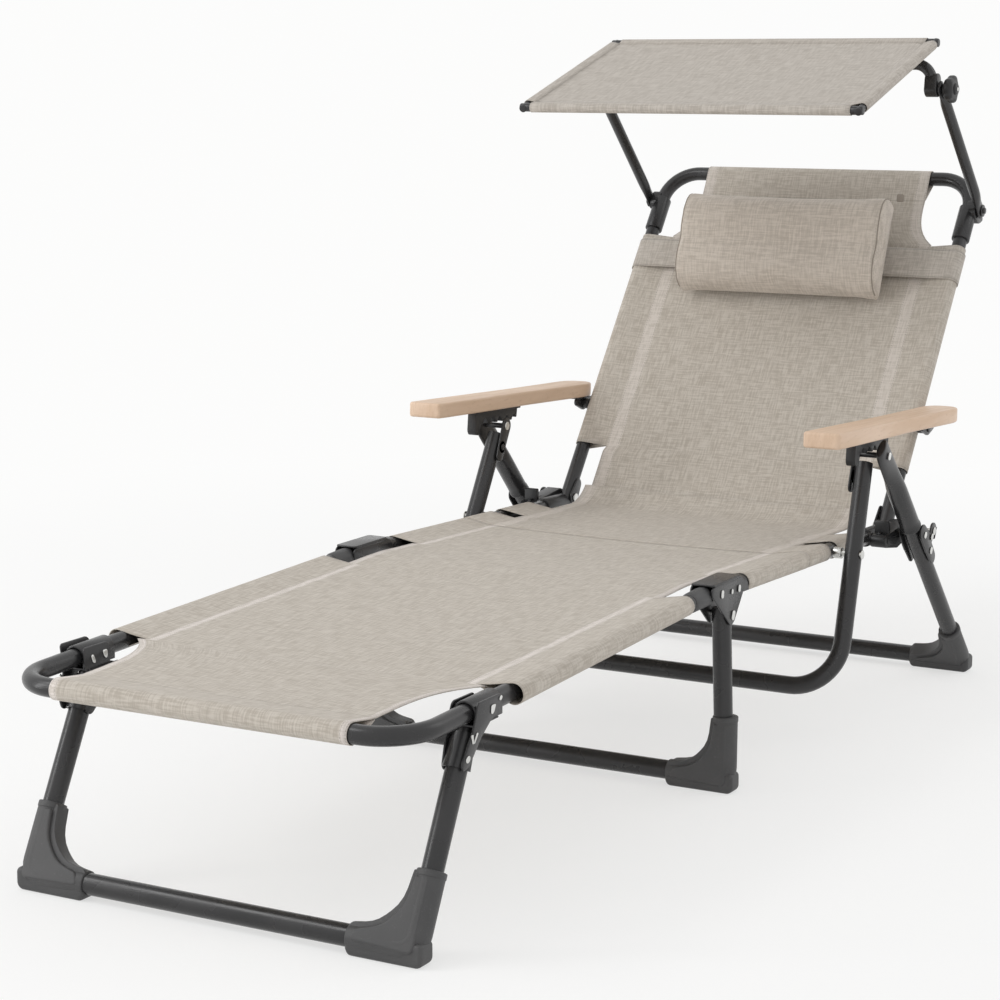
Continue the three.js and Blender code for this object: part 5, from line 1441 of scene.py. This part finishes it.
def panel_place(i, j):
    zone_x, x, height_x, _ = canopy_columns[i]
    zone_y, ahead, height_y, _ = canopy_rows[j]
    share_x = min(1, abs(x) / CANOPY_SEAM)
    share_y = min(1, abs(ahead - CANOPY_DEPTH / 2) / (CANOPY_DEPTH / 2 - CANOPY_INSET))
    level = 1 - share_x ** 2
    dip = 4.5 * level * (1 - share_y ** 2)
    ripple = 0.5 * math.sin(x / 19 + 1.3) * math.sin(ahead / 23) * level * (1 - share_y ** 4)
    height = height_x if zone_x else (height_y if zone_y else CANOPY_RISE - dip + ripple)
    return canopy_at(x, ahead, height)


def panel_kept(corners):
    side_zone = any(canopy_columns[i][0] for i, _ in corners)
    return 0 if side_zone and any(canopy_rows[j][0] for _, j in corners) else 1


def panel_flat(i, j):
    return canopy_columns[i][3], canopy_rows[j][3]


def panel_trim(i, j):
    across, run = panel_flat(i, j)
    inside = min(CANOPY_SEAM - abs(across), min(run, CANOPY_DEPTH - run) - CANOPY_INSET)
    return NO_BINDING, inside + 2


canopy_cloth = mesh_cloth("canopy_mesh", (0.395, 0.356, 0.312), (0.565, 0.522, 0.470))
bm, canopy_area = cloth_grid(
    len(canopy_columns), len(canopy_rows), panel_place, panel_kept, panel_flat, panel_trim,
    (0.5, 0.5),
)
canopy_sheet = finished_sheet("canopy_panel", bm, canopy_cloth, 0.8)
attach(canopy_sheet, "canopy")
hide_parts("canopy_cloth")

# Headrest band: a hemmed strip of the sling mesh, sewn into a loop round the backrest; the
# pillow is stitched to its front, and the band slides up and down the side tubes.
BAND_LOW, BAND_HIGH, BAND_FACE = 431.0, 485.0, 14.1
BAND_STEPS, FACE_STEPS, TURN_STEPS = 8, 24, 12
BAND_WIDTH = BAND_HIGH - BAND_LOW
band_loop = []
for s in (1, -1):
    for k in range(FACE_STEPS + 1):
        band_loop.append((s * (-RAIL_HALF + 2 * RAIL_HALF * k / FACE_STEPS), s * BAND_FACE))
    for k in range(1, TURN_STEPS):
        turn = s * math.pi / 2 - math.pi * k / TURN_STEPS
        around = (s * RAIL_HALF + BAND_FACE * math.cos(turn), BAND_FACE * math.sin(turn))
        band_loop.append(around)
band_runs = [0.0]
for first, second in zip(band_loop, band_loop[1:] + band_loop[:1]):
    band_runs.append(band_runs[-1] + math.dist(first, second))
bm = bmesh.new()
flat_layer = bm.loops.layers.uv.new("flat")
trim_layer = bm.loops.layers.uv.new("trim")
band_rows = []
for row in range(BAND_STEPS + 1):
    along = BAND_LOW + BAND_WIDTH * row / BAND_STEPS
    band_rows.append([bm.verts.new(back_at(x, along, out)) for x, out in band_loop])
for row, (lower, upper) in enumerate(zip(band_rows, band_rows[1:])):
    for k in range(len(band_loop)):
        after = (k + 1) % len(band_loop)
        face = bm.faces.new((lower[k], lower[after], upper[after], upper[k]))
        spots = ((k, row), (k + 1, row), (k + 1, row + 1), (k, row + 1))
        for loop, (n, m) in zip(face.loops, spots):
            high = BAND_WIDTH * m / BAND_STEPS
            loop[flat_layer].uv = (band_runs[n] * MM, high * MM)
            loop[trim_layer].uv = (NO_BINDING * MM, min(high, BAND_WIDTH - high) * MM)
bmesh.ops.recalc_face_normals(bm, faces=bm.faces)
headrest_band = finished_sheet("headrest_band", bm, canopy_cloth, 1.0)
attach(headrest_band, "headrest")
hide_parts("headrest_strap")


# Headrest pillow: a fibre-filled D-shaped bolster in a slubbed linen-look cover, its flat end
# caps set in with a fine corded seam whose dark colour is partly painted shade, and a dark tab where
# the cover closes.
def slubbed_linen(tree, where):
    slub_x = noise_node(tree, stretched(tree, where, (34, 400, 400)), 1, 3, 0.6)
    slub_z = noise_node(tree, stretched(tree, where, (420, 40, 40)), 1, 3, 0.6)
    slub = math_node(tree, "ADD", times(tree, slub_x, 0.5), times(tree, slub_z, 0.5))
    return {
        "Slub": map_node(tree, slub, 0.38, 0.62),
        "Tone": map_node(tree, noise_node(tree, where, 16, 4, 0.55), 0.3, 0.7),
        "Thread": noise_node(tree, where, 1400, 2, 0.5),
    }


pillow_cover, cover_tree = new_material("slubbed_linen")
cover = patterned(cover_tree, pattern("slubbed_linen", slubbed_linen))
cover_tone = mix_node(cover_tree, cover["Tone"], (0.560, 0.500, 0.432), (0.610, 0.545, 0.474))
cover_slub = mix_node(cover_tree, cover["Slub"], (0.455, 0.402, 0.346), (0.660, 0.595, 0.525))
dress(cover_tree, math_node(cover_tree, "ADD", cover["Slub"], cover["Thread"]), 0.3, 0.0006, {
    "Base Color": mix_node(cover_tree, 0.75, cover_tone, cover_slub),
    "Roughness": 0.88, "Sheen Weight": 0.2, "Specular IOR Level": 0.2,
})

PILLOW_LOW, PILLOW_HIGH = 376.0, 538.0
PILLOW_HALF, PILLOW_DEPTH = 177.0, 70.0
PILLOW_BASE = 15.3
PILLOW_CAP = 5.0
PILLOW_END_CAP = 2.5
PILLOW_VOXEL = 5.0
LEAN_FROM, LEAN = 445, 0.45
FILL_PRESSURE, FILL_FRAMES = 4, 20
PILLOW_MIDDLE = (PILLOW_LOW + PILLOW_HIGH) / 2


def pillow_profile(shrink, count=40):
    """The bolster's D outline, drawn in by shrink: (along, out)."""
    half = (PILLOW_HIGH - PILLOW_LOW) / 2 - shrink
    points = []
    for k in range(count + 1):
        turn = math.pi * k / count
        rise = (PILLOW_DEPTH - shrink) * math.sin(turn) ** (2 / 3)
        points.append((PILLOW_MIDDLE + half * math.cos(turn), PILLOW_BASE + rise))
    return points


def pillow_at(x, along, out):
    """The pillow's upper half leans forward, off the band that holds it."""
    return back_at(x, along, out + max(0, along - LEAN_FROM) * LEAN)


bm = bmesh.new()
core_half = PILLOW_HALF - PILLOW_END_CAP
plate(bm, pillow_profile(3.0), -core_half, core_half, 4.0, 3, pillow_at)
bmesh.ops.recalc_face_normals(bm, faces=bm.faces)
bolster = place_object("headrest_bolster", take_mesh(bm, "headrest_bolster"))
even = bolster.modifiers.new("even", "REMESH")
even.mode = "VOXEL"
even.voxel_size = PILLOW_VOXEL * MM
even.use_smooth_shade = True
bolster.data = settle(bolster)
fill = bolster.modifiers.new("fill", "CLOTH")
fill.settings.use_pressure = True
fill.settings.uniform_pressure_force = FILL_PRESSURE
fill.settings.effector_weights.gravity = 0
for step in range(1, FILL_FRAMES + 1):
    scene.frame_set(step)
swelled = settle(bolster)
scene.frame_set(1)
for vert, filled in zip(bolster.data.vertices, swelled.vertices):
    moved = filled.co - vert.co
    if moved.length > PILLOW_CAP * MM:
        moved *= PILLOW_CAP * MM / moved.length
    moved.x = max(-PILLOW_END_CAP * MM, min(PILLOW_END_CAP * MM, moved.x))
    vert.co += moved
back_normal = (back_at(0, 0, 1) - back_at(0, 0, 0)).normalized()
base_point = back_at(0, 0, PILLOW_BASE)
for vert in bolster.data.vertices:
    depth = (vert.co - base_point).dot(back_normal)
    if depth < 0:
        vert.co -= back_normal * depth
smooth = bolster.modifiers.new("smooth", "SUBSURF")
smooth.levels = 1
smooth.render_levels = 1
skin = settle(bolster)
bolster.data = skin
skin.name = "headrest_bolster"
skin.shade_smooth()
skin.materials.clear()
skin.materials.append(pillow_cover)
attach(bolster, "headrest")
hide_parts("headrest_pillow")

# The seam cord is a real cord, but its dark colour is partly painted shade of the seam's groove; the
# tab uses the same material.
piping = coated(
    "piping", (0.275, 0.240, 0.203), (0.330, 0.291, 0.249), (0.75, 0.85), 0.0, 0.4, 0.2,
)
pillow_skin = BVHTree.FromPolygons(
    [vert.co for vert in skin.vertices], [tuple(face.vertices) for face in skin.polygons],
)
bm = bmesh.new()
for s in (1, -1):
    seam_x = s * (PILLOW_HALF - 9.0)
    core = pillow_at(seam_x, PILLOW_MIDDLE, PILLOW_BASE + 22)
    seam = []
    for a, b in pillow_profile(0.0, 44)[2:-2]:
        hit = pillow_skin.ray_cast(core, (pillow_at(seam_x, a, b) - core).normalized())[0]
        if hit is not None:
            seam.append(hit)
    stations = []
    for k, spot in enumerate(seam):
        heading = (seam[min(len(seam) - 1, k + 1)] - seam[max(0, k - 1)]).normalized()
        stations.append((spot, heading))
    pipe(bm, stations, X_WAY, 1.1, 8)

tab = rounded([(172, 541, 2), (184, 541, 3), (184, 552, 3), (172, 552, 2)], 3)
plate(bm, tab, 16.2, 18.0, 0.5, 2, lambda depth, a, b: pillow_at(a, b, depth))
write_piece("headrest_piping", bm, piping, "headrest")
